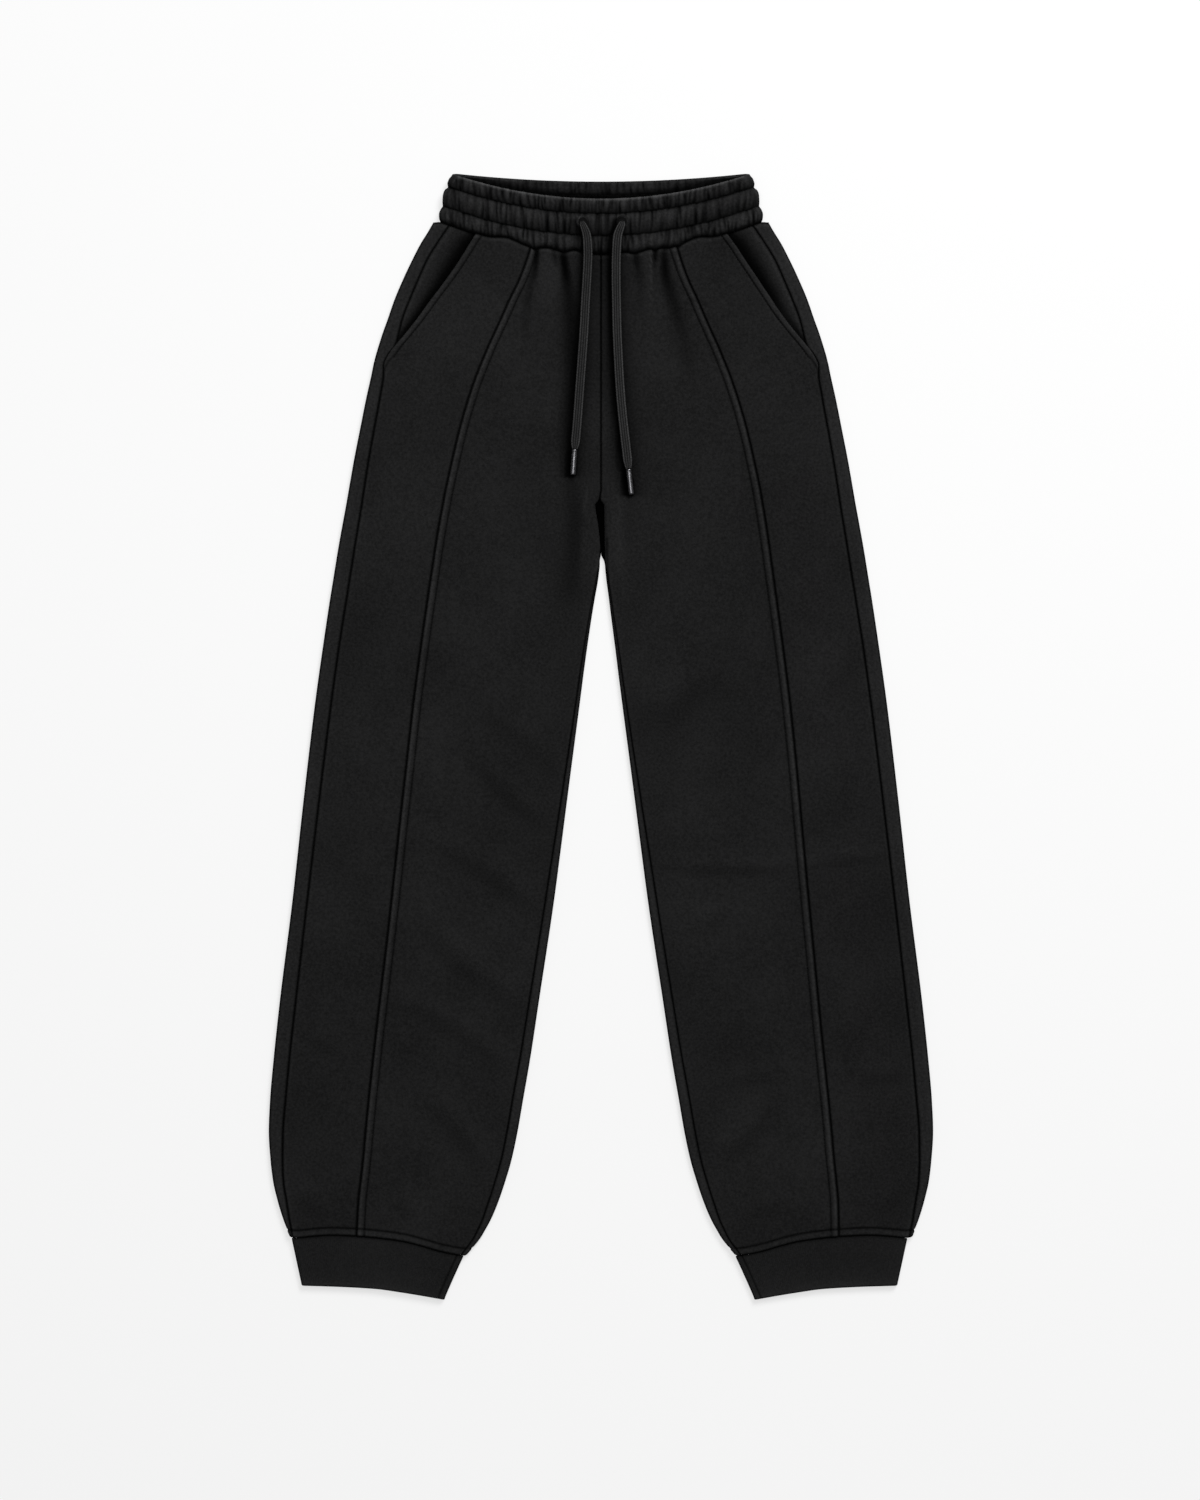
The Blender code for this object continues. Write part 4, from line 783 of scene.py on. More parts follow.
class Cloth:
    """Makes closed walls, rings and tubes out of grids of points, each x, y, z and a tone of painted shade
    and highlight.
    """

    @staticmethod
    def finish(name: str, points: Grid, faces: list[list[int]], material: Material,
               sharp: float = 62.0) -> Piece:
        """Turn points and faces into a smooth-shaded piece whose faces point outwards.

        Args:
            name: the piece's name.
            points: its points in millimetres, one row each.
            faces: its faces as lists of point numbers.
            material: its finish.
            sharp: the angle in degrees past which an edge is shaded sharp.

        Returns:
            The new object, at the origin.
        """
        mesh = bpy.data.meshes.new(name)
        mesh.from_pydata((points[:, :3] * MM).tolist(), [], faces)
        # each point's tone: painted shade and highlight that the material scales the colour by
        tone = mesh.attributes.new("tone", "FLOAT", "POINT")
        tone.data.foreach_set("value", points[:, 3].astype(np.float32))
        bm = bmesh.new()
        bm.from_mesh(mesh)
        bmesh.ops.recalc_face_normals(bm, faces=bm.faces)
        bm.to_mesh(mesh)
        bm.free()
        mesh.shade_smooth()
        mesh.set_sharp_from_angle(angle=math.radians(sharp))
        mesh.materials.append(material)
        return place_object(name, mesh)

    @classmethod
    def wall(cls, name: str, parts: list[Walls], material: Material) -> Piece:
        """A wall between an outer and an inner surface, closed round its four edges.

        Args:
            name: the piece's name.
            parts: outer and inner grids of points, side by side across the wall.
            material: its finish.

        Returns:
            The new object.
        """
        outer, inner = (np.concatenate([part[layer] for part in parts], axis=1) for layer in (0, 1))
        rows, columns = outer.shape[:2]
        number = np.arange(rows * columns).reshape(rows, columns)
        below = number + rows * columns
        faces = [np.stack([number[:-1, :-1], number[:-1, 1:], number[1:, 1:], number[1:, :-1]], -1),
                 np.stack([below[:-1, :-1], below[1:, :-1], below[1:, 1:], below[:-1, 1:]], -1)]
        for c in (0, -1):
            faces.append(np.stack([number[:-1, c], number[1:, c], below[1:, c], below[:-1, c]], -1))
        for r in (0, -1):
            faces.append(np.stack([number[r, :-1], number[r, 1:], below[r, 1:], below[r, :-1]], -1))
        points = np.concatenate([outer.reshape(-1, 4), inner.reshape(-1, 4)])
        return cls.finish(name, points, np.concatenate([f.reshape(-1, 4) for f in faces]).tolist(), material)

    @classmethod
    def ring(cls, name: str, loops: Grid, material: Material) -> Piece:
        """A ring closed both ways, from one closed loop of points for each station round it.

        Args:
            name: the piece's name.
            loops: the points, station by station.
            material: its finish.

        Returns:
            The new object.
        """
        number = np.arange(loops.shape[0] * loops.shape[1]).reshape(loops.shape[:2])
        there, beside = np.roll(number, -1, axis=0), np.roll(number, -1, axis=1)
        faces = np.stack([number, beside, np.roll(there, -1, axis=1), there], -1).reshape(-1, 4)
        return cls.finish(name, loops.reshape(-1, 4), faces.tolist(), material)

    @classmethod
    def tube(cls, name: str, loops: Grid, material: Material, sharp: float = 62.0) -> Piece:
        """A tube with both ends closed, from one closed loop of points for each station.

        Args:
            name: the piece's name.
            loops: the points, station by station.
            material: its finish.
            sharp: the angle in degrees past which an edge is shaded sharp.

        Returns:
            The new object.
        """
        number = np.arange(loops.shape[0] * loops.shape[1]).reshape(loops.shape[:2])
        beside = np.roll(number, -1, axis=1)
        faces = np.stack([number[:-1], beside[:-1], beside[1:], number[1:]], -1).reshape(-1, 4).tolist()
        faces += [number[0].tolist(), number[-1].tolist()]
        return cls.finish(name, loops.reshape(-1, 4), faces, material, sharp)


def stack(x: Grid, y: Grid, z: Grid, side: Side, tone: Grid = 0.0) -> Grid:
    """Join coordinates of one half to points, mirrored for the right side.

    Args:
        x, y: the place.
        z: height.
        side: which half.
        tone: painted shade (negative) where the cloth lies in a recess, painted highlight where it stands on
            a ridge.

    Returns:
        The points, each x, y, z and tone.
    """
    x, y, z, tone = np.broadcast_arrays(x, y, z, tone)
    return np.stack([x * side.value, y, z, tone], axis=-1)


def spread(start: Grid, end: Grid, count: int) -> Grid:
    """Columns strictly between two others, evenly spaced."""
    return start + (end - start) * (np.arange(1, count + 1) / (count + 1))[None, :]


@dataclass
class Leg:
    """One half of the trousers: its front, side, pocket facing and back panels."""

    side: Side
    fleece: Material
    pocket_fleece: Material
    middle_columns: int = 26
    side_columns: int = 22
    inner_columns: int = 15
    back_columns: int = 30
    mouth_lift: float = 2.0
    mouth_lift_top: float = 1.2
    mouth_top_y: float = 473.0
    mouth_end_y: float = 369.0
    strip_end_y: float = 345.0
    facing_wall: float = 1.8
    facing_tuck: tuple[float, ...] = (2.0, 5.0, 9.0, 14.0)
    facing_puff: float = 0.75
    seat_width: float = 7.0
    slot_shade: float = 2.6
    half: Half = field(init=False)
    rows: Grid = field(init=False)

    def __post_init__(self) -> None:
        """Set up the shared form."""
        self.half = Half(self.side)
        self.rows = panel_rows()

    def lift(self, y: Grid) -> Grid:
        """How far the front stands over the pocket facing at the mouth edge.

        Args:
            y: the places down the mouth.

        Returns:
            The height.
        """
        opening = smoothstep((y - HIP_Y) / (self.mouth_top_y - HIP_Y))
        height = self.mouth_lift + (self.mouth_lift_top - self.mouth_lift) * opening
        return height * smoothstep((y - self.strip_end_y) / 30.0)

    def top_walls(self, x: Grid, y: Grid, relief: Grid = 0.0, tone: Grid = 0.0) -> Walls:
        """Top and underside of a front panel, from its seams' relief and painted shade and highlight.

        Args:
            x, y: the places.
            relief: height change of the seams.
            tone: painted shade and highlight of the seams.

        Returns:
            Outer and inner points.
        """
        z, form_tone = self.half.front_form(x, y)
        relief = relief + self.half.seam_relief(x, y)
        tone = form_tone + tone + self.half.edge_tone(x, y)
        under = z - CLOTH + np.minimum(relief, 0.0) * 0.3
        return stack(x, y, z + relief, self.side, tone), stack(x, y, under, self.side, INSIDE_TONE)

    def folded_walls(self, fold: tuple[Grid, ...], y: Grid, relief: Grid, tone: Grid) -> Walls:
        """Outside and inside of the cloth round a fold, from its relief and painted shade and highlight.

        Args:
            fold: x, z, both parts of the normal and the share of the turn.
            y: the places down.
            relief: height change of the seams.
            tone: painted shade and highlight of the seams.

        Returns:
            Outer and inner points.
        """
        x, z, nx, nz, _ = fold
        return (stack(x + nx * relief, y, z + nz * relief, self.side, tone),
                stack(x - nx * CLOTH, y, z - nz * CLOTH, self.side, INSIDE_TONE))

    def front_centre(self) -> Piece:
        """Front centre panel: inseam and centre-front seam to the princess seam.

        Returns:
            The piece.
        """
        half, row = self.half, self.rows[:, None]

        def from_inseam(y: Grid) -> tuple[Grid, ...]:
            """The cloth from the inseam on round the inner fold."""
            return half.fold(inseam_turn(y) + SEAM_HALF_GAP + NEAR_CENTRE, y, -1)

        _, y = half.settle(row, lambda v: from_inseam(v)[0])
        fold = from_inseam(y)
        x, on_top = fold[0], fold[3] > 0.99
        relief = CENTRE_LIP(NEAR_CENTRE) - rolled(NEAR_CENTRE, 1.2) + half.seam_relief(x, y)
        # painted shade along the centre seam, the edges' painted shade and highlight, and on top the folds'
        # painted shade and highlight
        tone = CENTRE_TONE(NEAR_CENTRE) + half.edge_tone(x, y) + half.front_form(x, y)[1] * on_top
        seam_x, seam_y = half.settle(row, lambda v: half.princess(v) - SEAM_HALF_GAP - TO_SEAM)
        middle = spread(x[:, -1:], seam_x[:, :1], self.middle_columns)
        shape = seam_ridge(TO_SEAM, seam_y, 8.0 + self.side.value) - rolled(TO_SEAM, 2.0)
        parts = [self.folded_walls(fold, y, relief, tone),
                 self.top_walls(middle, half.row_to_y(row, middle, 1.0)),
                 self.top_walls(seam_x, seam_y, shape, bands(TO_SEAM, STRIP_TONE))]
        return Cloth.wall(f"fleece_front_centre_{self.side.word}", parts, self.fleece)

    def front_side(self) -> Piece:
        """Front side panel: princess seam to the pocket mouth and, below it, the outseam.

        Returns:
            The piece.
        """
        half, row = self.half, self.rows[:, None]
        x0, y0 = half.settle(row, lambda v: half.princess(v) + SEAM_HALF_GAP + NEAR_PLAIN)
        x1, y1 = half.settle(row, lambda v: half.mouth(v) - SEAM_HALF_GAP - TO_SEAM)
        first, last, edge_y = x0[:, -1:], x1[:, :1], y1[:, -1:]
        middle = spread(first, last, self.side_columns)
        pocket = smoothstep((edge_y - self.strip_end_y + 3.0) / 6.0)
        narrow = np.clip((edge_y - self.strip_end_y) / 14.0, 0.15, 1.0)
        strip = seam_ridge(TO_SEAM / narrow, edge_y, 31.0 + self.side.value, 0.6)
        # painted highlight on the mouth's edge and painted shade along its stitching; below the pocket, the
        # outseam's painted shade and highlight
        strip_tone = MOUTH_HIGHLIGHT(TO_SEAM / narrow) + MOUTH_STITCHES(TO_SEAM - (SEAM_ALLOWANCE - 0.8) * narrow)
        shape = strip * pocket + OUTSEAM_LIP(TO_SEAM) * (1.0 - pocket) - rolled(TO_SEAM, 1.9)
        edge_tone = strip_tone * pocket + bands(TO_SEAM, OUTSEAM_LIP_TONE) * (1.0 - pocket)
        parts = [self.top_walls(x0, y0, -rolled(NEAR_PLAIN, 2.0), PRINCESS_TONE(NEAR_PLAIN)),
                 self.top_walls(middle, half.row_to_y(row, middle, 1.0)),
                 self.top_walls(x1, y1, shape, edge_tone)]
        lift = self.lift(edge_y)
        for raise_by, part in ((lift * ((middle - first) / (last - first)) ** 3, parts[1]), (lift, parts[2])):
            for surface in part:
                surface[..., 2] += raise_by
        return Cloth.wall(f"fleece_front_side_{self.side.word}", parts, self.fleece)

    def mouth_x(self, y: Grid) -> Grid:
        """x of the pocket mouth, or of the outseam below it."""
        return np.minimum(self.half.mouth(y), LINES["outseam"](y) - SEAM_HALF_GAP) - 1.0

    def facing_tone(self, x: Grid, y: Grid, to_mouth: Grid) -> Grid:
        """Shade of the mouth's edge on the facing, deeper where the pocket stands open.

        Args:
            x, y: the places.
            to_mouth: distance from the mouth's edge.

        Returns:
            The tone.
        """
        low = 376.0 + 14.0 * self.side.value
        shade = (1.9 + 1.9 * smoothstep((y - low) / 34.0)) * (0.3 + 0.7 * smoothstep((477.0 - y) / 12.0))
        reach = 5.2 + 3.6 * smoothstep((y - 384.0) / 56.0)
        corner = 1.8 * bell(to_mouth - 1.0, 5.0) * bell(self.half.below_waist(x, y), 4.5)
        return -shade * np.exp(-(np.maximum(0.0, to_mouth - 0.8) / reach) ** 1.8) - corner

    def facing(self) -> Piece:
        """Pocket facing: puffs up from the outseam and dives under the mouth edge.

        Returns:
            The piece.
        """
        half = self.half
        row = self.rows[self.rows >= self.mouth_end_y - 4.0][:, None]
        open_x, _ = half.settle(row, lambda v: LINES["outseam"](v) - SEAM_HALF_GAP + 0.0 * v)
        mouth, mouth_y = half.settle(row, self.mouth_x)
        tucked = mouth - np.array([self.facing_tuck])
        x = np.concatenate([open_x + (mouth - open_x) * OVER_FACING, tucked], axis=1)
        y = half.row_to_y(row, x, 1.0)
        depth = np.append(OVER_FACING, np.ones(len(self.facing_tuck)))[None, :]
        under = edge_height(mouth_y) + self.lift(mouth_y) - CLOTH - 0.75
        open_share = smoothstep((y - self.mouth_end_y) / 16.0)
        puff = self.facing_puff * np.sin(np.pi * np.clip(depth / 0.66, 0.0, 1.0)) * open_share
        flush = edge_height(y) - 0.1 + puff - rolled(open_x - x, 1.2)
        dive = smoothstep((depth - 0.42) / 0.52)
        z = flush * (1.0 - dive) + under * dive
        z = under + (np.maximum(under, z) - under) * open_share
        z = z + half.waist_relief(x, y) * (1.0 - dive)
        # painted shade along the outseam and the waist seam and the mouth edge's painted shadow, with a
        # painted highlight on the facing's puff
        seams = FACING_SEAM_TONE(open_x - x) + FACING_WAIST_TONE(half.below_waist(x, y)) + FACING_HIGHLIGHT(depth)
        outer = stack(x, y, z, self.side, seams + self.facing_tone(x, y, x - mouth))
        inner = outer - np.array([0.0, 0.0, self.facing_wall, 0.0])
        return Cloth.wall(f"fleece_pocket_facing_{self.side.word}", [(outer, inner)], self.pocket_fleece)

    def back_fold(self, arc: Callable[[Grid], Grid], outward: int) -> tuple[tuple[Grid, ...], Grid, Grid]:
        """The back panel's cloth round one folded edge of the leg.

        Args:
            arc: gives each column's arc length round the fold at a y.
            outward: 1 for the outer fold, -1 for the inner one.

        Returns:
            The fold as Half.fold gives it, its y, and the relief of the hem on it.
        """
        half, row = self.half, self.rows[:, None]
        angle = np.minimum(math.pi, np.maximum(0.0, arc(row)) / (edge_height(row) / 2))
        front_share = (1.0 - np.cos(angle)) / 2
        _, y = half.settle(row, lambda v: half.fold(arc(v), v, outward)[0], front_share)
        fold = half.fold(arc(y), y, outward)
        hem = half.hem_relief(fold[0], y, front_share)
        return fold, y, np.where(hem > 0, hem * smoothstep(fold[4]), hem)

    def back_inner(self) -> Walls:
        """The back panel's part round the inner fold and, in the body, beside the centre back.

        Returns:
            Outer and inner points.
        """
        half, row = self.half, self.rows[:, None]
        share = np.linspace(0.0, 1.0, self.inner_columns)[None, :]

        def arc(y: Grid) -> Grid:
            """Arc length of each column at a y."""
            return (inseam_turn(y) - SEAM_HALF_GAP) * (1.0 - share ** 1.25)

        fold, y, hem = self.back_fold(arc, -1)
        top, to_seam = fold[4], arc(y)[:, :1] - arc(y)
        slot = self.slot_shade * smoothstep((y - 138.0) / 22.0) * smoothstep((CROTCH_FRONT_Y + 4.0 - y) / 4.0)
        # painted shade along the inseam and in the crotch slot, painted highlight towards the top of the fold
        tone = np.where(top > 0.5, INSEAM_TONE(to_seam) + half.outer_highlight * smoothstep((top - 0.4) / 0.3), 0.0)
        tone = tone - slot * (1.0 - smoothstep((top - 0.6) / 0.3)) + half.rim_tone(fold[0], y)
        leg = self.folded_walls(fold, y, hem - rolled(to_seam, 1.5), tone)
        x = self.seat_width * share + 0.0 * row
        seat_y, roll = half.row_to_y(row, x, 0.0), rolled(x, 1.2)
        seat = (stack(x, seat_y, roll, self.side, -roll),
                stack(x, seat_y, CLOTH, self.side, INSIDE_TONE - 1.3 * slot))
        body = smoothstep((row - CROTCH_BACK_Y + 12.0) / 12.0)[..., None]
        return leg[0] * (1 - body) + seat[0] * body, leg[1] * (1 - body) + seat[1] * body

    def back_outer(self) -> Walls:
        """The back panel's part round the outer fold, as far as the outseam.

        Returns:
            Outer and inner points.
        """
        half = self.half
        share = 1.0 - (1.0 - np.linspace(0.0, 1.0, self.back_columns)[None, :]) ** 1.35

        def to_outseam(y: Grid) -> Grid:
            """Arc length from the floor to the outseam.

            Args:
                y: the places down.

            Returns:
                The length.
            """
            radius = edge_height(y) / 2
            offset = LINES["fold_out"](y) - LINES["outseam"](y) - SEAM_HALF_GAP
            bent = (math.pi - np.arcsin(np.clip((radius - offset) / radius, -1.0, 1.0))) * radius
            return np.where(offset >= radius, math.pi * radius + offset - radius, bent)

        fold, y, hem = self.back_fold(lambda v: to_outseam(v) * share, 1)
        x, top = fold[0], fold[4]
        to_seam = to_outseam(y) * (1.0 - share)
        waist = half.waist_relief(x, y) * smoothstep((top - 0.7) / 0.25)
        relief = hem + waist - rolled(to_seam, 1.6) + BACK_LIP(to_seam)
        rim = LINES["fold_out"](y) - x
        # painted shade along the outseam and painted highlight near the outer edge; lower on the fold a
        # slight lift with the rim's painted shade
        seam_tone = bands(to_seam, OUTSEAM_TONE) + OUTER_EDGE_HIGHLIGHT(rim) - half.outer_highlight * np.exp(-rim / 4.5)
        tone = np.where(top > 0.35, seam_tone + half.edge_tone(x, y), 0.3 + half.rim_tone(x, y))
        return self.folded_walls(fold, y, relief, tone)

    def back(self) -> Piece:
        """Back panel: centre-back seam, underside and both folded edges of the leg.

        Returns:
            The piece.
        """
        half, row = self.half, self.rows[:, None]
        inner_part, outer_part = self.back_inner(), self.back_outer()
        start, end = np.abs(inner_part[0][:, -1:, 0]), np.abs(outer_part[0][:, :1, 0])
        x = spread(start, end, self.back_columns)
        y = half.row_to_y(row, x, 0.0)
        inside = smoothstep((x - start) / 14.0) * smoothstep((end - x) / 14.0)
        trough = sum(crease.height(x * self.side.value, y) for crease in BACK_CREASES)
        uneven = 0.18 * (1.0 + MEDIUM(x / 30.0 + 50.0, y / 40.0))
        raised = np.clip(uneven - trough, 0.0, 2.0) * inside
        groove = np.maximum(0.0, -half.hem_relief(x, y, 0.0))
        # painted shade on the underside's raised folds and in the cuff seam's groove
        middle = (stack(x, y, raised + groove, self.side, -0.2 * raised - groove),
                  stack(x, y, CLOTH + raised, self.side, INSIDE_TONE))
        return Cloth.wall(f"fleece_back_{self.side.word}", [inner_part, middle, outer_part], self.fleece)

    def stitches(self) -> list[Grid]:
        """Lines of topstitching: beside the princess seam, along the mouth, above the cuff.

        Returns:
            The points of each line.
        """
        half, lines = self.half, []
        for seam, lowest in ((half.princess, -464.0), (half.mouth, self.mouth_end_y - 16.0)):
            row = self.rows[self.rows > lowest]
            x, y = half.settle(row, lambda v: seam(v) - SEAM_HALF_GAP - SEAM_ALLOWANCE)
            z = half.front_top(x, y) + half.waist_relief(x, y) - STITCH_SINK
            if seam == half.mouth:
                z = z + self.lift(half.settle(row, lambda v: seam(v) - SEAM_HALF_GAP)[1])
            lines.append(stack(x, y, z, self.side))
        return [*lines, self.hem_stitches()]

    def hem_stitches(self) -> Grid:
        """Points of the topstitching above the cuff seam across the front.

        Returns:
            The points.
        """
        x = np.linspace(CUFF_TOP_SPAN[0] - 5.0, CUFF_TOP_SPAN[1] + 0.5, 120)
        y = cuff_seam(x, 1.0) + SEAM_HALF_GAP + SEAM_ALLOWANCE
        x = np.clip(x, inner_edge(y) + 2.2, LINES["fold_out"](y) - 2.2)
        y = cuff_seam(x, 1.0) + SEAM_HALF_GAP + SEAM_ALLOWANCE
        radius = edge_height(y) / 2
        z = self.half.front_top(x, y)
        for edge, outward in ((inner_edge(y), -1), (LINES["fold_out"](y), 1)):
            inside = (x - (edge - outward * radius)) * outward
            rounded = radius + np.sqrt(np.maximum(0.0, radius ** 2 - np.maximum(0.0, inside) ** 2))
            z = np.where(inside > 0, rounded, z)
        return stack(x, y, z - STITCH_SINK - 0.1, self.side)


@dataclass(frozen=True)
class Pleats:
    """The gathers of one sewn channel: narrow valleys between round pleats."""

    half_span: float
    pitch: float
    seed: int
    width: float = 1.0

    def depth(self, x: Grid, t: Grid) -> Grid:
        """How deep the valleys are, 0 on the pleats' crests and about 1 in a valley.

        Args:
            x: signed place along the channel.
            t: place across the channel, from 0 to 1.

        Returns:
            The depth share.
        """
        chance = np.random.default_rng(self.seed)
        count = int(2 * self.half_span / self.pitch)
        at = -self.half_span + self.pitch * (np.arange(count) + 0.5)
        at = at + chance.uniform(-0.38, 0.38, count) * self.pitch
        strength = chance.uniform(0.35, 1.15, count)
        width = self.width * chance.uniform(0.65, 1.35, count)
        slant = chance.uniform(-2.4, 2.4, count)
        bow = chance.uniform(-1.0, 1.0, count)
        ends = chance.uniform(-0.9, 0.9, count)
        total = np.zeros(np.broadcast_shapes(np.shape(x), np.shape(t)))
        for i in range(count):
            near = np.abs(x - (at[i] + slant[i] * (t - 0.5) + bow[i] * 4.0 * t * (1.0 - t)))
            fade = np.clip(1.0 + ends[i] * (t - 0.5) * 2.2, 0.15, 1.35)
            valley = 0.7 * np.exp(-(near / width[i]) ** 1.6) + 0.3 * bell(near, 2.2 * width[i])
            total += strength[i] * fade * valley
        return total


# Shade across one puffed channel, from its lower stitch row (0) to its upper one (1)
PUFF_SHADE = Track([0, 0.1, 0.22, 0.38, 0.54, 0.7, 0.86, 0.95, 1.0],
                   [-2.1, -1.15, -0.65, -0.25, 0.05, 0.25, 0.1, -0.5, -2.1])


@dataclass
class Waistband:
    """Gathered elastic waistband: one flattened ring sewn into three channels."""

    fleece: Material
    stitch_wall: float = 4.2
    puff: float = 1.8
    lift: float = 6.4
    front_stitch_z: float = 10.4
    front_crest_z: float = 13.3
    fold_reach: float = 6.0
    fold_inner: float = 1.0
    pleat_height: float = 2.3
    seam_sink: float = 1.3
    # painted highlight on the lowest channel's puff, painted shade along the centre-front seam, and for each
    # channel a lift of its tone and painted shade in its pleats' valleys
    seam_puff: Band = Band(0.55, 0.22, 0.36)
    middle_line: Band = Band(-1.0, 0.9, 0.2)
    gather_tones: tuple[Point, ...] = ((0.55, 1.4), (0.62, 1.35), (0.7, 1.7))
    rows_of_stitches: tuple[float, ...] = (0.313, 0.718)
    half_widths: tuple[Point, ...] = (
        (0, 151.4), (0.06, 152.4), (0.15, 152.6), (0.25, 151), (0.313, 149.2), (0.37, 149.6), (0.52, 149.2),
        (0.64, 147.4), (0.718, 144.3), (0.77, 144.6), (0.84, 143.7), (0.9, 142.5), (0.95, 140.2), (1, 136))
    front_pleats: tuple[Pleats, ...] = (Pleats(149.0, 3.7, 5), Pleats(147.0, 4.0, 12), Pleats(143.0, 3.9, 21))
    back_pleats: tuple[Pleats, ...] = (Pleats(149.0, 5.6, 33), Pleats(147.0, 5.4, 41), Pleats(143.0, 5.0, 57))

    def half_width(self, height: float) -> float:
        """Half-width of the flattened ring at a height share."""
        stations = np.array(self.half_widths)
        return float(Track(stations[:, 0], stations[:, 1])(height))

    def y_at(self, height: float, x: Grid, front_share: Grid) -> Grid:
        """y of a height share between the waist seam and the rim.

        Args:
            height: 0 at the waist seam, 1 at the rim.
            x: signed x.
            front_share: 0 on the back wall, 1 on the front.

        Returns:
            The y.
        """
        plain_low, high = (bowed(back, x) * (1.0 - front_share) + bowed(front, x) * front_share
                           for back, front in ((BACK_SEAM, FRONT_SEAM), (BACK_RIM, FRONT_RIM)))
        plain_low = plain_low + SEAM_HALF_GAP
        first_row = self.rows_of_stitches[0]
        wave = 0.4 * FINE(x / 5.0, 60.0 + 3.0 * round(height * 3.0)) * math.sin(math.pi * height)
        wave = wave * front_share
        if height >= first_row:
            return plain_low + (high - plain_low) * height + wave
        low = waist_seam(x, front_share) + SEAM_HALF_GAP
        row_y = plain_low + (high - plain_low) * first_row
        return low + (row_y - low) * height / first_row + wave

    def row_y(self, height: float, rise: float, x: Grid, front_share: Grid) -> Grid:
        """y of a row of the loop, which rises towards the rim where the cloth turns over."""
        y = self.y_at(height, x, front_share)
        return y + (self.y_at(1.0, x, front_share) - y) * rise if rise > 0.0 else y

    def channel(self, height: float) -> tuple[int, float]:
        """Which channel a height share lies in, lowest first, and the place across it.

        Args:
            height: share of the band's height.

        Returns:
            The channel's number and the place from 0 to 1.
        """
        bounds = (0.0, *self.rows_of_stitches, 1.0)
        number = sum(height > row for row in self.rows_of_stitches)
        return number, (height - bounds[number]) / (bounds[number + 1] - bounds[number])

    @staticmethod
    def puffed(number: int, t: float) -> float:
        """How far a channel has puffed up at a place across it, from 0 to 1.

        Args:
            number: which channel.
            t: the place across it, from 0 to 1.

        Returns:
            The share.
        """
        if number == 2 and t > 0.5:
            return 1.0
        return (1.0 - (2.0 * t - 1.0) ** 2) ** 0.55 if 0.0 < t < 1.0 else 0.0

    @staticmethod
    def puff_shade(number: int, t: float, rim_highlight: float) -> float:
        """Painted shade across a channel; the top one runs on to the rim and gets a painted highlight there.
        """
        return float(PUFF_SHADE(t)) if number < 2 else float(PUFF_SHADE(0.78 * t)) + rim_highlight * t

    def relief(self, x: Grid, height: float, pleats: tuple[Pleats, ...]) -> Grid:
        """Signed relief of the gathers at a height share, for one wall's pleats."""
        number, t = self.channel(height)
        return -self.pleat_height * (0.45 + 0.55 * self.puffed(number, t)) * pleats[number].depth(x, t)

    def outside_heights(self) -> list[float]:
        """Height shares of the rows up the outside, dense beside the stitch rows.

        Returns:
            The shares, from the seam up.
        """
        across = (0.0, 0.035, 0.08, 0.15, 0.25, 0.37, 0.5, 0.63, 0.75, 0.85, 0.92, 0.965)
        bounds = (0.0, *self.rows_of_stitches, 1.0)
        rows = [low + (high - low) * t for low, high in zip(bounds, bounds[1:]) for t in across]
        return [row for row in rows if row < 0.94]

    def loop_rows(self) -> list[tuple[float, float, float]]:
        """Each row of the wall's closed loop: height share, rim turn (0 out, 1 in), rim rise.

        Returns:
            The rows, once round the loop.
        """
        outside = self.outside_heights()
        rows = [(height, 0.0, 0.0) for height in outside]
        rows += [(0.945, (1 - math.cos(a)) / 2, math.sin(a)) for a in np.linspace(0.25, math.pi - 0.25, 9)]
        return rows + [(height, 1.0, 0.0) for height in reversed(outside[::2])]

    def wall_tone(self, x: Grid, height: float, turn: float, rise: float, wall: Wall) -> Grid:
        """Painted shade and highlight of one wall: shade in valleys, stitch rows and under the rim, highlight
        on the rim.

        Args:
            x: signed x.
            height: height share of the row.
            turn: 0 on the outside, 1 on the inside.
            rise: how far the row has risen round the rim.
            wall: which wall.

        Returns:
            The tone.
        """
        number, t = self.channel(height)
        pleats = self.front_pleats if wall is Wall.FRONT else self.back_pleats
        plain, valley = self.gather_tones[number]
        gathers = plain - valley * pleats[number].depth(x, t)
        tone = gathers + self.puff_shade(number, t, 0.35) + (self.seam_puff(t) if number == 0 else 0.0)
        if wall is Wall.FRONT:
            tone = tone + self.middle_line(x)
        if rise > 0.0:
            rim = smoothstep(rise / 0.45)
            # painted highlight along the rim, bright on the front
            wear_and_highlight = 1.95 if wall is Wall.FRONT else 0.3
            return tone * (1.0 - rim) + (wear_and_highlight + 0.25 * gathers) * rim
        if turn > 0.5 and wall is Wall.BACK:
            # painted shade on the back's inside, deepest just above the front's rim
            above = self.y_at(height, x, 0.0) - self.y_at(1.0, x, 1.0)
            deep = 2.9 * np.exp(-np.maximum(0.0, above - 1.5) ** 2 / 19.0)
            return 0.8 * gathers - deep - 0.9 * (1.0 - self.puffed(number, t))
        if wall is Wall.FRONT:
            tone = tone - cord_shade(x, self.y_at(height, x, 1.0))
        return tone + INSIDE_TONE * turn

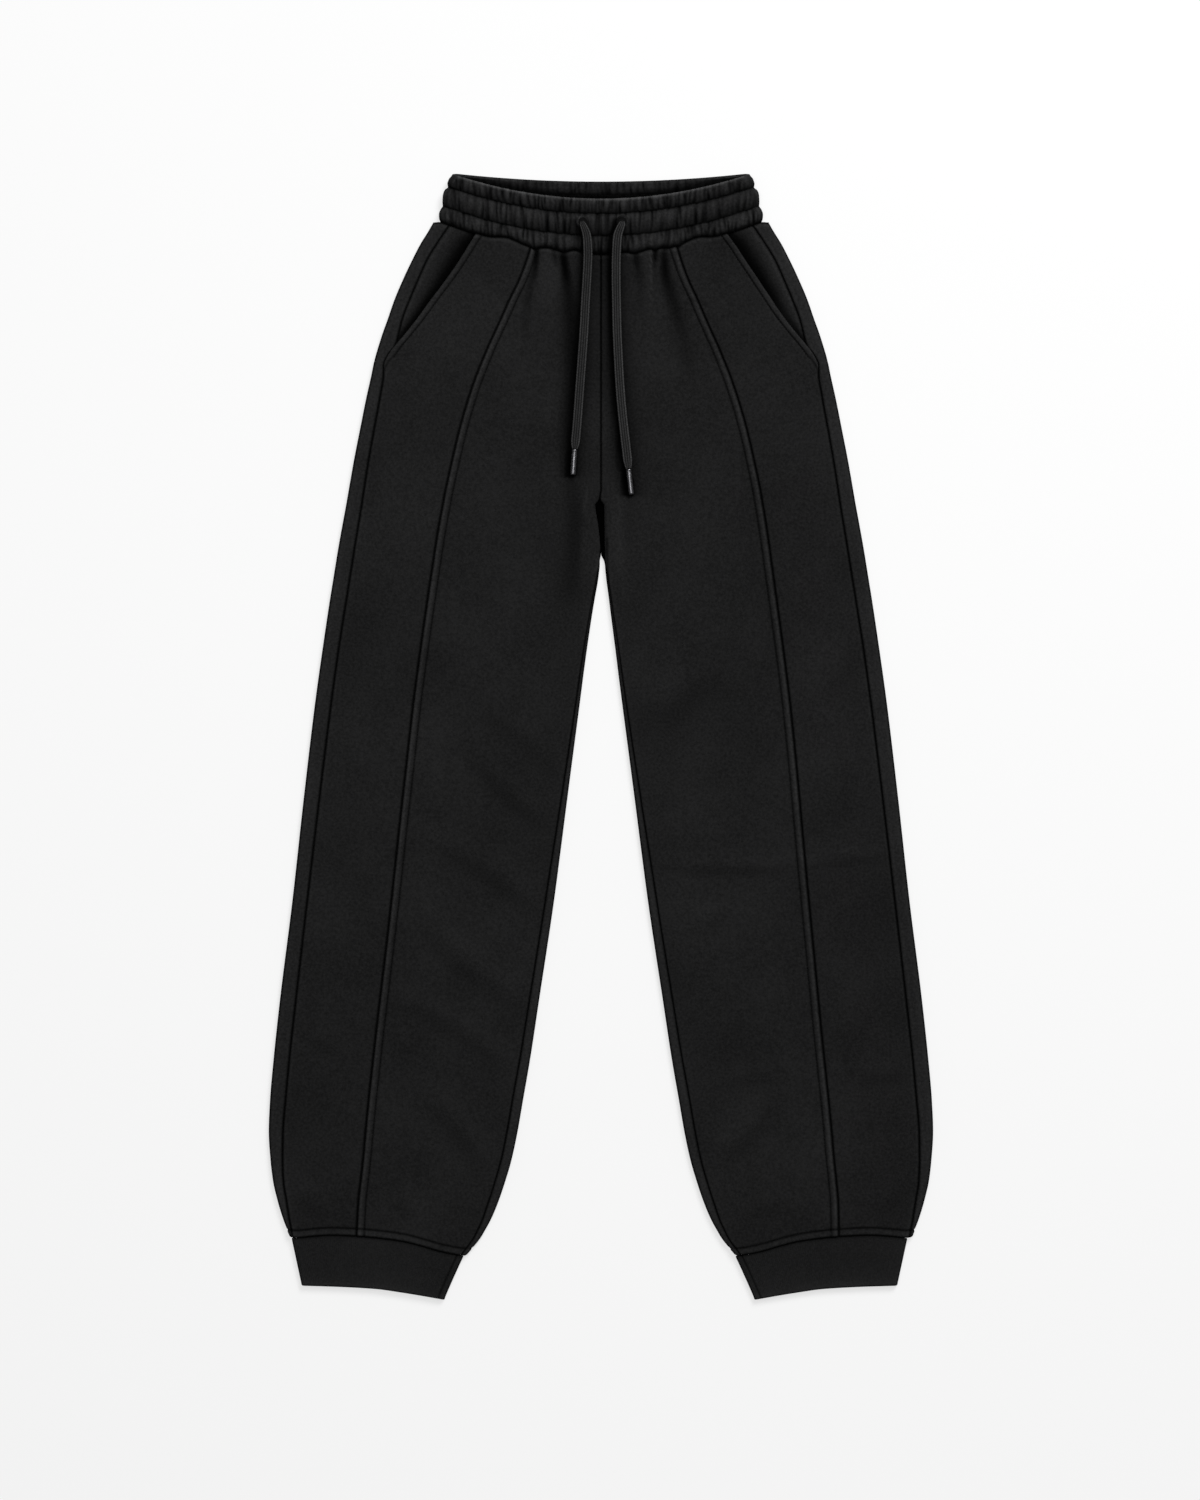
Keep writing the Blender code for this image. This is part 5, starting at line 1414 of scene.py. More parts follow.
    def wall_heights(self, x: Grid, height: float, wall: Wall) -> Walls:
        """z of the outside and the inside of one wall.

        Args:
            x: signed x.
            height: height share of the row.
            wall: which wall.

        Returns:
            Both heights.
        """
        puff = self.puffed(*self.channel(height))
        if wall is Wall.FRONT:
            out = self.front_stitch_z + (self.front_crest_z - self.front_stitch_z) * puff
            out = out + self.relief(x, height, self.front_pleats) * 0.95
            return out - self.seam_sink * smoothstep(1.0 - height / 0.05), self.lift + 0.0 * x
        gathers = self.relief(x, height, self.back_pleats)
        rest = 0.55 * (1.0 - puff) - 0.55 * gathers
        return rest, self.stitch_wall + self.puff * puff * 0.85 + gathers * 0.8

    def flat(self, wall: Wall, step: float) -> Grid:
        """Loops of points across the flat of one wall, in the order round the ring.

        Args:
            wall: which wall.
            step: about how far apart the loops are.

        Returns:
            The points, loop by loop.
        """
        reach = self.half_width(0.5) - self.fold_reach
        across = np.linspace(-1.0, 1.0, int(2 * reach / step))
        across = across if wall is Wall.BACK else across[::-1]
        rows = []
        for height, turn, rise in self.loop_rows():
            x = across * (self.half_width(height) - self.fold_reach)
            out, into = self.wall_heights(x, height, wall)
            y = self.row_y(height, rise, x, float(wall.value))
            tone = self.wall_tone(x, height, turn, rise, wall)
            rows.append(np.stack([x, y, out + (into - out) * turn, tone], -1))
        return np.stack(rows, axis=1)

    def end_fold(self, side: Side, stations: int = 22) -> Grid:
        """Loops of points round one end of the ring, from the floor to the top or back.

        Args:
            side: which end.
            stations: how many loops.

        Returns:
            The points, loop by loop.
        """
        angles = np.linspace(0.0, math.pi, stations + 2)[1:-1][::side.value]
        share = (1.0 - np.cos(angles)) / 2
        rows = []
        for height, turn, rise in self.loop_rows():
            number, t = self.channel(height)
            width = self.half_width(height) - self.fold_reach
            end_x = np.full(stations, side.value * width)
            front, back = (self.wall_heights(end_x, height, wall) for wall in (Wall.FRONT, Wall.BACK))
            ripple = 0.35 * np.cos(angles * 5.0 + number * 1.7) * self.puffed(number, t)
            reach = self.fold_reach + ripple
            reach = reach + (self.fold_inner - reach) * turn
            out_z, in_z = (back[layer] + (front[layer] - back[layer]) * share for layer in (0, 1))
            x = side.value * (width + reach * np.sin(angles))
            y = self.row_y(height, rise, x, share)
            # painted shade across the channel with a ripple of lighter and darker, a painted highlight on the
            # rim and painted shade inside
            tone = self.puff_shade(number, t, 0.25) + 0.2 + 0.35 * np.cos(angles * 7.0 + number * 2.3)
            tone = tone * (1.0 - rise) + 1.2 * rise * (1.0 - turn) - turn * (1.0 - rise)
            rows.append(np.stack([x, y, out_z + (in_z - out_z) * turn, tone], -1))
        return np.stack(rows, axis=1)

    def build(self) -> Piece:
        """The ring: back wall, left end, front wall, right end.

        Returns:
            The piece.
        """
        loops = [self.flat(Wall.BACK, 0.85), self.end_fold(Side.LEFT),
                 self.flat(Wall.FRONT, 0.62), self.end_fold(Side.RIGHT)]
        return Cloth.ring("fleece_waistband", np.concatenate(loops), self.fleece)

    def stitches(self) -> list[Grid]:
        """Points of the two stitch rows on the front's outside and the back's inside.

        Returns:
            The points of each line.
        """
        lines = []
        for height in self.rows_of_stitches:
            reach = self.half_width(height) - 3.0
            x = np.linspace(-reach, reach, 500)
            out, _ = self.wall_heights(x, height, Wall.FRONT)
            out = out - self.seam_sink * np.clip((np.abs(x) - (reach - 3.0)) / 3.0, 0.0, 1.0) ** 2
            lines.append(np.stack([x, self.y_at(height, x, 1.0), out + 0.1], -1))
        x = np.linspace(-120.0, 120.0, 420)
        _, into = self.wall_heights(x, self.rows_of_stitches[1], Wall.BACK)
        lines.append(np.stack([x, self.y_at(self.rows_of_stitches[1], x, 0.0), into + 0.1], -1))
        return lines


@dataclass
class Cuff:
    """Ribbed cuff: a short flattened tube from the cuff seam to the hem."""

    side: Side
    knit: Material
    ribs: int = 84
    steps_a_rib: int = 5
    fold_ribs: int = 7
    rib_depth: float = 0.22
    hem_round: float = 0.95
    side_seam: float = 6.2
    seam_groove: Band = Band(-0.35, 0.9)
    # painted shade along the side seam, below the cuff seam and at the cuff's ends; a painted highlight on
    # the hem's round
    seam_tone: Band = Band(-1.2, 1.0)
    top_tone: Band = Band(-1.2, 1.3)
    hem_highlight: Band = Band(0.3, 0.05, 0.93)
    end_line: Band = Band(-2.6, 0.9)

    def loop_rows(self) -> list[tuple[float, float, float]]:
        """Each row of the wall's loop: share down the cuff, turn to the inside, hem reach.

        Returns:
            The rows, once round the loop.
        """
        down = [0.0, 0.012, 0.03, 0.06, 0.11, 0.2, 0.32, 0.45, 0.58, 0.7, 0.8, 0.88, 0.935]
        rows = [(step, 0.0, 0.0) for step in down]
        turns = np.linspace(0.25, math.pi - 0.25, 8)
        rows += [(self.hem_round, (1 - math.cos(a)) / 2, math.sin(a)) for a in turns]
        return rows + [(step, 1.0, 0.0) for step in reversed(down[::3])]

    def around(self) -> tuple[Grid, Grid, Grid]:
        """Points round the flattened tube, from the back wall by the outer fold to the front.

        Returns:
            The turn from back (0) to front (1), the share across, and the way out at a fold.
        """
        flat, fold = self.ribs * self.steps_a_rib, self.fold_ribs * self.steps_a_rib
        turning = np.linspace(0, 1, fold + 2)[1:-1]
        front_share = np.concatenate([np.zeros(flat), turning, np.ones(flat), turning[::-1]])
        across = np.linspace(0, 1, flat)
        across = np.concatenate([across, np.ones(fold), across[::-1], np.zeros(fold)])
        outward = np.concatenate([np.zeros(flat), np.ones(fold), np.zeros(flat), -np.ones(fold)])
        return front_share, across, outward

    def build(self) -> tuple[Piece, Grid]:
        """The cuff's plain ring.

        Returns:
            The ring and, point by point, its place in the ribs and their depth.
        """
        radius = CUFF_HEIGHT / 2
        front, across, outward = self.around()
        wale = np.arange(len(front)) / self.steps_a_rib
        angle = math.pi * front
        share = (1.0 - np.cos(angle)) / 2
        on_front = smoothstep((share - 0.6) / 0.3)
        on_flat_front = (1.0 - np.abs(outward)) * (front > 0.5)
        hem_start, hem_end = CUFF_HEM_SPAN
        loops, marks = [], []
        for step, turn, rise in self.loop_rows():
            start, end = (top + (hem - top) * step + self.side.value * CUFF_SKEW
                          for top, hem in zip(CUFF_TOP_SPAN, CUFF_HEM_SPAN))
            reach = radius - CUFF_WALL * turn
            swell = 0.0
            if turn == 0.0:
                reach = reach - rolled(step * CUFF_DROP, 1.1)
                swell = 0.55 * math.sin(math.pi * min(1.0, step * 1.05)) * on_flat_front
            x = start + radius + (end - start - 2 * radius) * across + outward * reach * np.sin(angle)
            z = radius - (reach + swell) * np.cos(angle)
            top = cuff_seam(x, share) - SEAM_HALF_GAP
            hem = HEM_TRACK(hem_start + (x - start) / (end - start) * (hem_end - hem_start))
            y = top + (hem - top) * step
            y = y + (hem - y) * rise
            from_seam, to_end = x - start - self.side_seam, np.minimum(x - start, end - x)
            z = z + self.seam_groove(from_seam) * on_front * (1.0 - turn)
            # painted highlight near the cuff's ends with a line of painted shade at the very end; painted
            # shade inside, below the cuff seam, along the side seam and under the hem's turn; lighter towards
            # the hem
            tone = 0.3 * np.exp(-to_end / 3.5) + self.end_line(to_end) - turn
            tone = tone + self.top_tone(step * CUFF_DROP) + 0.25 * smoothstep((step - 0.45) / 0.5)
            tone = tone + self.seam_tone(from_seam) * on_front
            tone = tone + self.hem_highlight(step) - 2.8 * smoothstep((rise - 0.55) / 0.4)
            loops.append(stack(x, y, np.maximum(z, 0.0), self.side, tone))
            deep = 0.8 if rise else 0.25 + 0.75 * min(1.0, step / 0.06)
            marks.append(np.stack([wale, np.full_like(wale, (1.0 - turn) * deep)], -1))
        ring = Cloth.ring(f"rib_cuff_{self.side.word}", np.stack(loops, 1), self.knit)
        return ring, np.stack(marks, 1).reshape(-1, 2)


@dataclass
class Drawcord:
    """Flat braided cord: four lengthwise ribs, pressed a little flatter where it lies."""

    side: Side
    braid: Material
    sides: int = 72
    ring_step: float = 0.8
    ribs: int = 4
    rib_depth: float = 0.26
    plait_pitch: float = 2.6
    plait_depth: float = 0.13
    least_on_puffs: float = 10.6
    # how much lighter each cord is, right then left
    tone_offset: Point = (0.6, 0.75)
    head: tuple[Point, ...] = ((0.5, 0.25), (0.46, 0.55), (0.34, 0.8), (0.17, 0.94))

    def surface(self, x: float, y: float) -> float:
        """Highest cloth under the cord: the waistband above its seam, the front below it.

        Args:
            x, y: the place.

        Returns:
            The height.
        """
        seam = FRONT_SEAM[0] + FRONT_SEAM[1] * (x / BAND_HALF_WIDTH) ** 2
        panel = float(Half(self.side).front_top(np.array(abs(x)), np.array(min(y, seam))))
        panel = max(panel, self.least_on_puffs if y > RISE_START_Y else LEG_HEIGHT + CROWN)
        return panel + (BAND_TOP_Z - panel) * float(smoothstep(np.array((y - seam + 9.0) / 9.0)))

    def route(self) -> list[tuple[Vector, float]]:
        """The cord's centre line with its width share at each listed point.

        Returns:
            The points with their shares.
        """
        points = []
        for x, y, lift, width in ROUTES[self.side.word]:
            half_thick = CORD_WIDTH * CORD_FLATTEN / 2 * width
            points.append((Vector((x, y, self.surface(x, y) + lift + half_thick)), width))
        return points

    def centre_line(self, step: float) -> list[tuple[Vector, float]]:
        """Points along a smooth curve through the route.

        Args:
            step: about how far apart they are.

        Returns:
            Each point with its width share, the rounded head first.
        """
        route = self.route()
        points = []
        for i in range(len(route) - 1):
            before, here = route[max(0, i - 1)], route[i]
            there, after = route[i + 1], route[min(len(route) - 1, i + 2)]
            pieces = max(1, round((there[0] - here[0]).length / step))
            for k in range(pieces):
                t = k / pieces
                place = 0.5 * (2.0 * here[0] + (there[0] - before[0]) * t
                               + (2.0 * before[0] - 5.0 * here[0] + 4.0 * there[0] - after[0]) * t * t
                               + (3.0 * here[0] - before[0] - 3.0 * there[0] + after[0]) * t ** 3)
                points.append((place, here[1] + (there[1] - here[1]) * t))
        points.append(route[-1])
        start, width = points[0]
        outward = (start - points[1][0]).normalized() * CORD_WIDTH / 2 * width
        return [(start + outward * reach, width * share) for reach, share in self.head] + points

    def build(self) -> Piece:
        """The braided tube with closed ends.

        Returns:
            The piece.
        """
        line = self.centre_line(self.ring_step)
        places = [place for place, _ in line]
        angle = np.linspace(0.0, 2 * math.pi, self.sides, endpoint=False)
        wide = np.sign(np.cos(angle)) * np.abs(np.cos(angle)) ** 0.8
        high = np.sign(np.sin(angle)) * np.abs(np.sin(angle)) ** 0.8
        rib = np.abs(np.cos(np.pi * self.ribs * (wide + 1.0) / 2.0))
        # painted highlight along the cord's edges with a line of painted shade at the very edge, and painted
        # shade between the ribs
        edge = 0.65 * smoothstep((np.abs(wide) - 0.55) / 0.1) - 1.6 * smoothstep((np.abs(wide) - 0.94) / 0.06)
        cloth_tone = edge + self.tone_offset[self.side is Side.LEFT] - 2.6 * rib ** 4
        loops, travelled = [], 0.0
        for i, (place, width) in enumerate(line):
            along = (places[min(i + 1, len(line) - 1)] - places[max(i - 1, 0)]).normalized()
            across = along.cross(Vector((0.0, 0.0, 1.0))).normalized()
            up = across.cross(along).normalized()
            travelled += (place - places[i - 1]).length if i else 0.0
            phase = travelled / self.plait_pitch + 0.5 * np.abs(wide * self.ribs / 2.0)
            plait = 0.5 + 0.5 * np.cos(2 * math.pi * phase)
            sink = self.rib_depth * rib ** 3 + self.plait_depth * plait * (1 - rib ** 3)
            half = CORD_WIDTH / 2 * width
            offsets = np.outer(wide * (half - 0.5 * sink), across)
            offsets = offsets + np.outer(high * (half * CORD_FLATTEN - sink * width), up)
            # painted shade at the head, where the cord comes out of the hole, and in the plait's hollows
            tone = cloth_tone - 1.6 * math.exp(-travelled / 0.9) - 0.7 * plait * (1 - rib ** 2)
            loops.append(np.concatenate([np.array(place) + offsets, tone[:, None]], axis=1))
        return Cloth.tube(f"braided_drawcord_{self.side.word}", np.stack(loops), self.braid)


@dataclass
class CordTip:
    """Metal tip crimped on the cord's end: a rod with a rolled lip and an eased nose."""

    side: Side
    metal: Material
    gap: float = 0.6
    sides: int = 48
    profile: tuple[Point, ...] = (
        (0, 2.3), (0.05, 2.65), (0.3, 2.88), (0.7, 2.96), (1.3, 2.96), (1.7, 2.88), (2, 2.76), (2.6, 2.76),
        (3.2, 2.84), (4.5, 2.88), (12, 2.84), (20, 2.88), (22.2, 2.9), (23, 2.84), (23.6, 2.66), (23.95, 2.3),
        (24.15, 1.8), (24.2, 1))

    def build(self, end: Vector) -> Piece:
        """The turned rod, from the cord's end along its heading.

        Args:
            end: the last point of the cord's centre line.

        Returns:
            The tip's object.
        """
        heading, up = TIP_HEADINGS[self.side.word].normalized(), Vector((0.0, 0.0, 1.0))
        start = end + heading * self.gap
        angle = np.linspace(0.0, 2 * math.pi, self.sides, endpoint=False)[:, None]
        spokes = np.cos(angle) * np.array(up.cross(heading).normalized()) + np.sin(angle) * np.array(up)
        loops = [np.array(start + heading * along) + spokes * radius for along, radius in self.profile]
        loops = np.pad(np.stack(loops), ((0, 0), (0, 0), (0, 1)))
        return Cloth.tube(f"metal_cord_tip_{self.side.word}", loops, self.metal, sharp=50.0)


class NodeTree:
    """Small helper that adds nodes and links to a geometry or shader tree."""

    def __init__(self, tree: bpy.types.NodeTree) -> None:
        """Keep the tree."""
        self.tree = tree

    def add(self, kind: str, settings: dict[str, object] | None = None,
            sockets: dict[int | str, object] | None = None, **inputs: object) -> bpy.types.Node:
        """Add a node.

        Args:
            kind: the node's type.
            settings: properties of the node itself.
            sockets: inputs by number, or by a name that can't be a keyword.
            inputs: socket names with spaces written as underscores; a socket is linked,
                anything else becomes the socket's value.

        Returns:
            The new node.
        """
        node = self.tree.nodes.new(kind)
        for name, value in (settings or {}).items():
            setattr(node, name, value)
        for key, value in (sockets or {}).items():
            self.feed(node.inputs[key], value)
        for name, value in inputs.items():
            self.feed(node.inputs[name.replace("_", " ")], value)
        return node

    def feed(self, socket: Socket, value: object) -> None:
        """Link a socket to another one, or set its value.

        Args:
            socket: the input.
            value: another socket, or a plain value.
        """
        if isinstance(value, Socket):
            self.tree.links.new(value, socket)
        else:
            socket.default_value = value

    def math(self, operation: str, first: object, second: object = 0.0) -> Socket:
        """A Math node's result; works in geometry and shader trees alike."""
        return self.add("ShaderNodeMath", {"operation": operation}, {0: first, 1: second}).outputs[0]

    def scaled(self, value: object, factor: object) -> Socket:
        """A value times a factor."""
        return self.math("MULTIPLY", value, factor)

    def vector(self, operation: str, sockets: dict[int | str, object]) -> bpy.types.bpy_prop_collection:
        """A Vector Math node's outputs."""
        return self.add("ShaderNodeVectorMath", {"operation": operation}, sockets).outputs

    def chance(self, kind: str, low: object, high: object, seed: object = 0) -> Socket:
        """A random FLOAT or FLOAT_VECTOR for each element.

        Args:
            kind: FLOAT or FLOAT_VECTOR.
            low, high: its limits.
            seed: a seed or a socket.

        Returns:
            The output.
        """
        first = 0 if kind == "FLOAT_VECTOR" else 2
        sockets = {first: low, first + 1: high}
        node = self.add("FunctionNodeRandomValue", {"data_type": kind}, sockets, Seed=seed)
        return node.outputs[first // 2]


class GeometryTool:
    """A geometry node tree with named inputs that turns a guide mesh into finished geometry."""

    def __init__(self, name: str, **inputs: object) -> None:
        """Make an empty tree with its sockets.

        Args:
            name: the tree's name.
            inputs: usual value of each input, spaces written as underscores; its type gives
                the socket's. Every tree takes a Material too.
        """
        kinds = {float: "NodeSocketFloat", int: "NodeSocketInt", tuple: "NodeSocketVector"}
        self.tree = bpy.data.node_groups.new(name, "GeometryNodeTree")
        face = self.tree.interface
        face.new_socket("Geometry", in_out="INPUT", socket_type="NodeSocketGeometry")
        for label, value in inputs.items():
            kind = kinds[type(value)]
            face.new_socket(label.replace("_", " "), in_out="INPUT", socket_type=kind).default_value = value
        face.new_socket("Material", in_out="INPUT", socket_type="NodeSocketMaterial")
        face.new_socket("Geometry", in_out="OUTPUT", socket_type="NodeSocketGeometry")
        self.nodes = NodeTree(self.tree)
        self.source = self.tree.nodes.new("NodeGroupInput").outputs
        self.sink = self.tree.nodes.new("NodeGroupOutput")

    def beads(self, points: Socket, along: Socket, half: Socket, rings: int) -> Socket:
        """Threads as drawn-out beads, one on each point.

        Args:
            points: where they lie.
            along: the way each one points.
            half: half of their length.
            rings: rings of faces of a bead.

        Returns:
            The instances.
        """
        n, radius = self.nodes, self.source["Thread Radius"]
        turned = n.add("FunctionNodeAlignRotationToVector", {"axis": "Z"}, Vector=along)
        scale = n.add("ShaderNodeCombineXYZ", X=radius, Y=radius, Z=half)
        bead = n.add("GeometryNodeMeshUVSphere", Segments=6, Rings=rings, Radius=1.0)
        return n.add("GeometryNodeInstanceOnPoints", Points=points, Instance=bead.outputs[0],
                     Rotation=turned.outputs[0], Scale=scale.outputs[0]).outputs[0]

    def toned(self, geometry: Socket, tone: Socket) -> Socket:
        """Geometry that carries a tone."""
        return self.nodes.add("GeometryNodeStoreNamedAttribute", {"data_type": "FLOAT"}, Geometry=geometry,
                              Name="tone", Value=tone).outputs[0]

    def close(self, geometry: Socket) -> None:
        """End the tree in Realize Instances and Set Material.

        Args:
            geometry: what comes out.
        """
        real = self.nodes.add("GeometryNodeRealizeInstances", Geometry=geometry)
        shaded = self.nodes.add("GeometryNodeSetShadeSmooth", Geometry=real.outputs[0], Shade_Smooth=True)
        dressed = self.nodes.add("GeometryNodeSetMaterial", Geometry=shaded.outputs[0],
                                 Material=self.source["Material"])
        self.tree.links.new(dressed.outputs[0], self.sink.inputs[0])

    def apply(self, guide: Piece, name: str, values: dict[str, object]) -> Piece:
        """Run the tree on a guide and keep its result as a plain mesh.

        Args:
            guide: the object that carries the guide geometry; it is removed.
            name: the finished piece's name.
            values: the tree's inputs by name.

        Returns:
            The finished object, without a modifier.
        """
        modifier = guide.modifiers.new("making", "NODES")
        modifier.node_group = self.tree
        for item in self.tree.interface.items_tree:
            if item.item_type == "SOCKET" and item.in_out == "INPUT" and item.name in values:
                modifier[item.identifier] = values[item.name]
        graph = bpy.context.evaluated_depsgraph_get()
        mesh = bpy.data.meshes.new_from_object(guide.evaluated_get(graph))
        mesh.name = name
        bpy.data.objects.remove(guide, do_unlink=True)
        return place_object(name, mesh)


def stitching_tool() -> GeometryTool:
    """Lock stitches laid end to end along every line of the guide.

    Returns:
        The tool.
    """
    tool = GeometryTool("lock_stitches", Pitch=0.003, Stitch_Length=0.0024, Thread_Radius=0.0003, Seed=4)
    n, source = tool.nodes, tool.source
    line = n.add("GeometryNodeMeshToCurve", Mesh=source["Geometry"])
    spaced = n.add("GeometryNodeResampleCurve", {"mode": "LENGTH"}, Curve=line.outputs[0],
                   Length=source["Pitch"])
    tangent = n.add("GeometryNodeInputTangent")
    half = n.scaled(n.scaled(source["Stitch Length"], 0.5), n.chance("FLOAT", 0.86, 1.1, source["Seed"]))
    tool.close(tool.beads(spaced.outputs[0], tangent.outputs[0], half, 5))
    return tool


def binding_tool() -> GeometryTool:
    """Thread bound side by side over the rim of a hole round the guide's one point, with a painted highlight
    on the lit side and a dark disc of painted shade in the hole.

    Returns:
        The tool.
    """
    tool = GeometryTool("bound_hole", Hole_Radius=0.0024, Rim_Radius=0.0046, Thread_Radius=0.0003, Threads=44,
                        Thread_Tone=0.0, Hole_Tone=-4.0, Rubbed_Side=(-200.0, 150.0, 0.0), Seed=9)
    n, source = tool.nodes, tool.source
    hole, rim = source["Hole Radius"], source["Rim Radius"]
    middle = n.scaled(n.math("ADD", hole, rim), 0.5)
    circle = n.add("GeometryNodeMeshCircle", Vertices=source["Threads"], Radius=middle)
    where = n.add("GeometryNodeInputPosition").outputs[0]
    askew = n.chance("FLOAT_VECTOR", (-0.0005, -0.0005, -0.0001), (0.0005, 0.0005, 0.0001), source["Seed"])
    half = n.scaled(n.math("SUBTRACT", rim, hole), 0.56)
    placed = tool.beads(circle.outputs[0], n.vector("ADD", {0: where, 1: askew})[0], half, 6)
    bound = n.add("GeometryNodeRealizeInstances", Geometry=placed)
    # each thread's tone: a random spread plus the threads' painted shade, and a painted highlight towards the
    # lit side
    tone_offset = n.math("ADD", n.chance("FLOAT", -0.5, 0.4), source["Thread Tone"])
    lit = n.vector("DOT_PRODUCT", {0: where, 1: source["Rubbed Side"]})["Value"]
    threads = tool.toned(bound.outputs[0], n.math("ADD", lit, tone_offset))
    # a dark disc sunk in the hole, painted shade where the hole is
    disc = n.add("GeometryNodeMeshCircle", {"fill_type": "NGON"}, Vertices=32, Radius=rim)
    sunk = n.add("GeometryNodeTransform", Geometry=disc.outputs[0], Translation=(0.0, 0.0, -0.0003))
    both = n.add("GeometryNodeJoinGeometry")
    for part in (threads, tool.toned(sunk.outputs[0], source["Hole Tone"])):
        n.feed(both.inputs[0], part)
    onto = n.add("GeometryNodeInstanceOnPoints", Points=source["Geometry"], Instance=both.outputs[0])
    tool.close(onto.outputs[0])
    return tool


def ribbing_tool() -> GeometryTool:
    """Knitted ribs pressed into a plain cuff along its own normals.

    Returns:
        The tool.
    """
    tool = GeometryTool("knit_ribs", Rib_Depth=0.0002)
    n, source = tool.nodes, tool.source
    wale, mask = (n.add("GeometryNodeInputNamedAttribute", {"data_type": "FLOAT"}, Name=name).outputs[0]
                  for name in ("wale", "rib_mask"))
    wave = n.math("COSINE", n.scaled(wale, 2 * math.pi))
    sink = n.scaled(n.scaled(n.math("SUBTRACT", wave, 1.0), 0.5), mask)
    normal = n.add("GeometryNodeInputNormal")
    offset = n.vector("SCALE", {0: normal.outputs[0], "Scale": n.scaled(sink, source["Rib Depth"])})
    moved = n.add("GeometryNodeSetPosition", Geometry=source["Geometry"], Offset=offset[0])
    tool.close(moved.outputs[0])
    return tool


class FibreGroup:
    """Shader group shared by every cloth: fibre height and a fine and a broad mottle."""

    def __init__(self) -> None:
        """Build the group once."""
        self.tree = bpy.data.node_groups.new("fibre", "ShaderNodeTree")
        face = self.tree.interface
        face.new_socket("Vector", in_out="INPUT", socket_type="NodeSocketVector")
        for label in ("Fibre Scale", "Stretch", "Mottle Scale", "Loft"):
            face.new_socket(label, in_out="INPUT", socket_type="NodeSocketFloat")
        for label in ("Height", "Grain", "Mottle"):
            face.new_socket(label, in_out="OUTPUT", socket_type="NodeSocketFloat")
        n = NodeTree(self.tree)
        source = self.tree.nodes.new("NodeGroupInput").outputs
        sink = self.tree.nodes.new("NodeGroupOutput").inputs
        squeeze = n.add("ShaderNodeCombineXYZ", X=1.0, Y=source["Stretch"], Z=1.0)
        along = n.vector("MULTIPLY", {0: source["Vector"], 1: squeeze.outputs[0]})[0]
        scale = source["Fibre Scale"]
        fine, clump, broad = (
            n.add("ShaderNodeTexNoise", Vector=place, Scale=size, Detail=detail, Roughness=rough).outputs[0]
            for place, size, detail, rough in ((along, scale, 3.0, 0.65),
                                               (source["Vector"], n.scaled(scale, 0.27), 2.0, 0.6),
                                               (source["Vector"], source["Mottle Scale"], 3.0, 0.55)))
        n.feed(sink["Height"], n.math("ADD", n.scaled(fine, source["Loft"]), clump))
        n.feed(sink["Grain"], n.math("ADD", n.scaled(fine, 0.35), n.scaled(clump, 0.65)))
        n.feed(sink["Mottle"], broad)


class Finish:
    """A material being made: its tree and what finishes have in common."""

    def __init__(self, name: str, colour: Colour, **plain: object) -> None:
        """Start the material.

        Args:
            name: its name.
            colour: how it shows in a plain view.
            plain: the shader's sockets that are the same all over, spaces as underscores.
        """
        self.made = bpy.data.materials.new(name)
        self.made.use_nodes = True
        self.made.diffuse_color = (*colour, 1.0)
        self.nodes = NodeTree(self.made.node_tree)
        self.shader = self.made.node_tree.nodes["Principled BSDF"].inputs
        self.place = self.nodes.add("ShaderNodeTexCoord").outputs["Object"]
        for label, value in plain.items():
            self.shader[label.replace("_", " ")].default_value = value

    def blend(self, share: Socket, first: Colour, second: Colour) -> Socket:
        """A colour between two."""
        return self.nodes.add("ShaderNodeMix", {"data_type": "RGBA"},
                              {0: share, 6: (*first, 1.0), 7: (*second, 1.0)}).outputs[2]

    def stretched(self, value: Socket, low: float, high: float) -> Socket:
        """A value spread so that low becomes 0 and high 1."""
        return self.nodes.add("ShaderNodeMapRange", Value=value, From_Min=low, From_Max=high).outputs[0]

    def surface(self, colour: Socket, grain: Socket, roughness: Point, height: Socket,
                relief: Point) -> Material:
        """Finish the material with its colour, roughness and bump.

        Args:
            colour: the base colour.
            grain: what the roughness follows.
            roughness: its least and greatest value.
            height: the relief's height.
            relief: the relief's distance and strength.

        Returns:
            The material.
        """
        n = self.nodes
        rough = n.add("ShaderNodeMapRange", Value=grain, To_Min=roughness[0], To_Max=roughness[1])
        bump = n.add("ShaderNodeBump", Height=height, Distance=relief[0], Strength=relief[1])
        n.feed(self.shader["Base Color"], colour)
        n.feed(self.shader["Roughness"], rough.outputs[0])
        n.feed(self.shader["Normal"], bump.outputs[0])
        return self.made


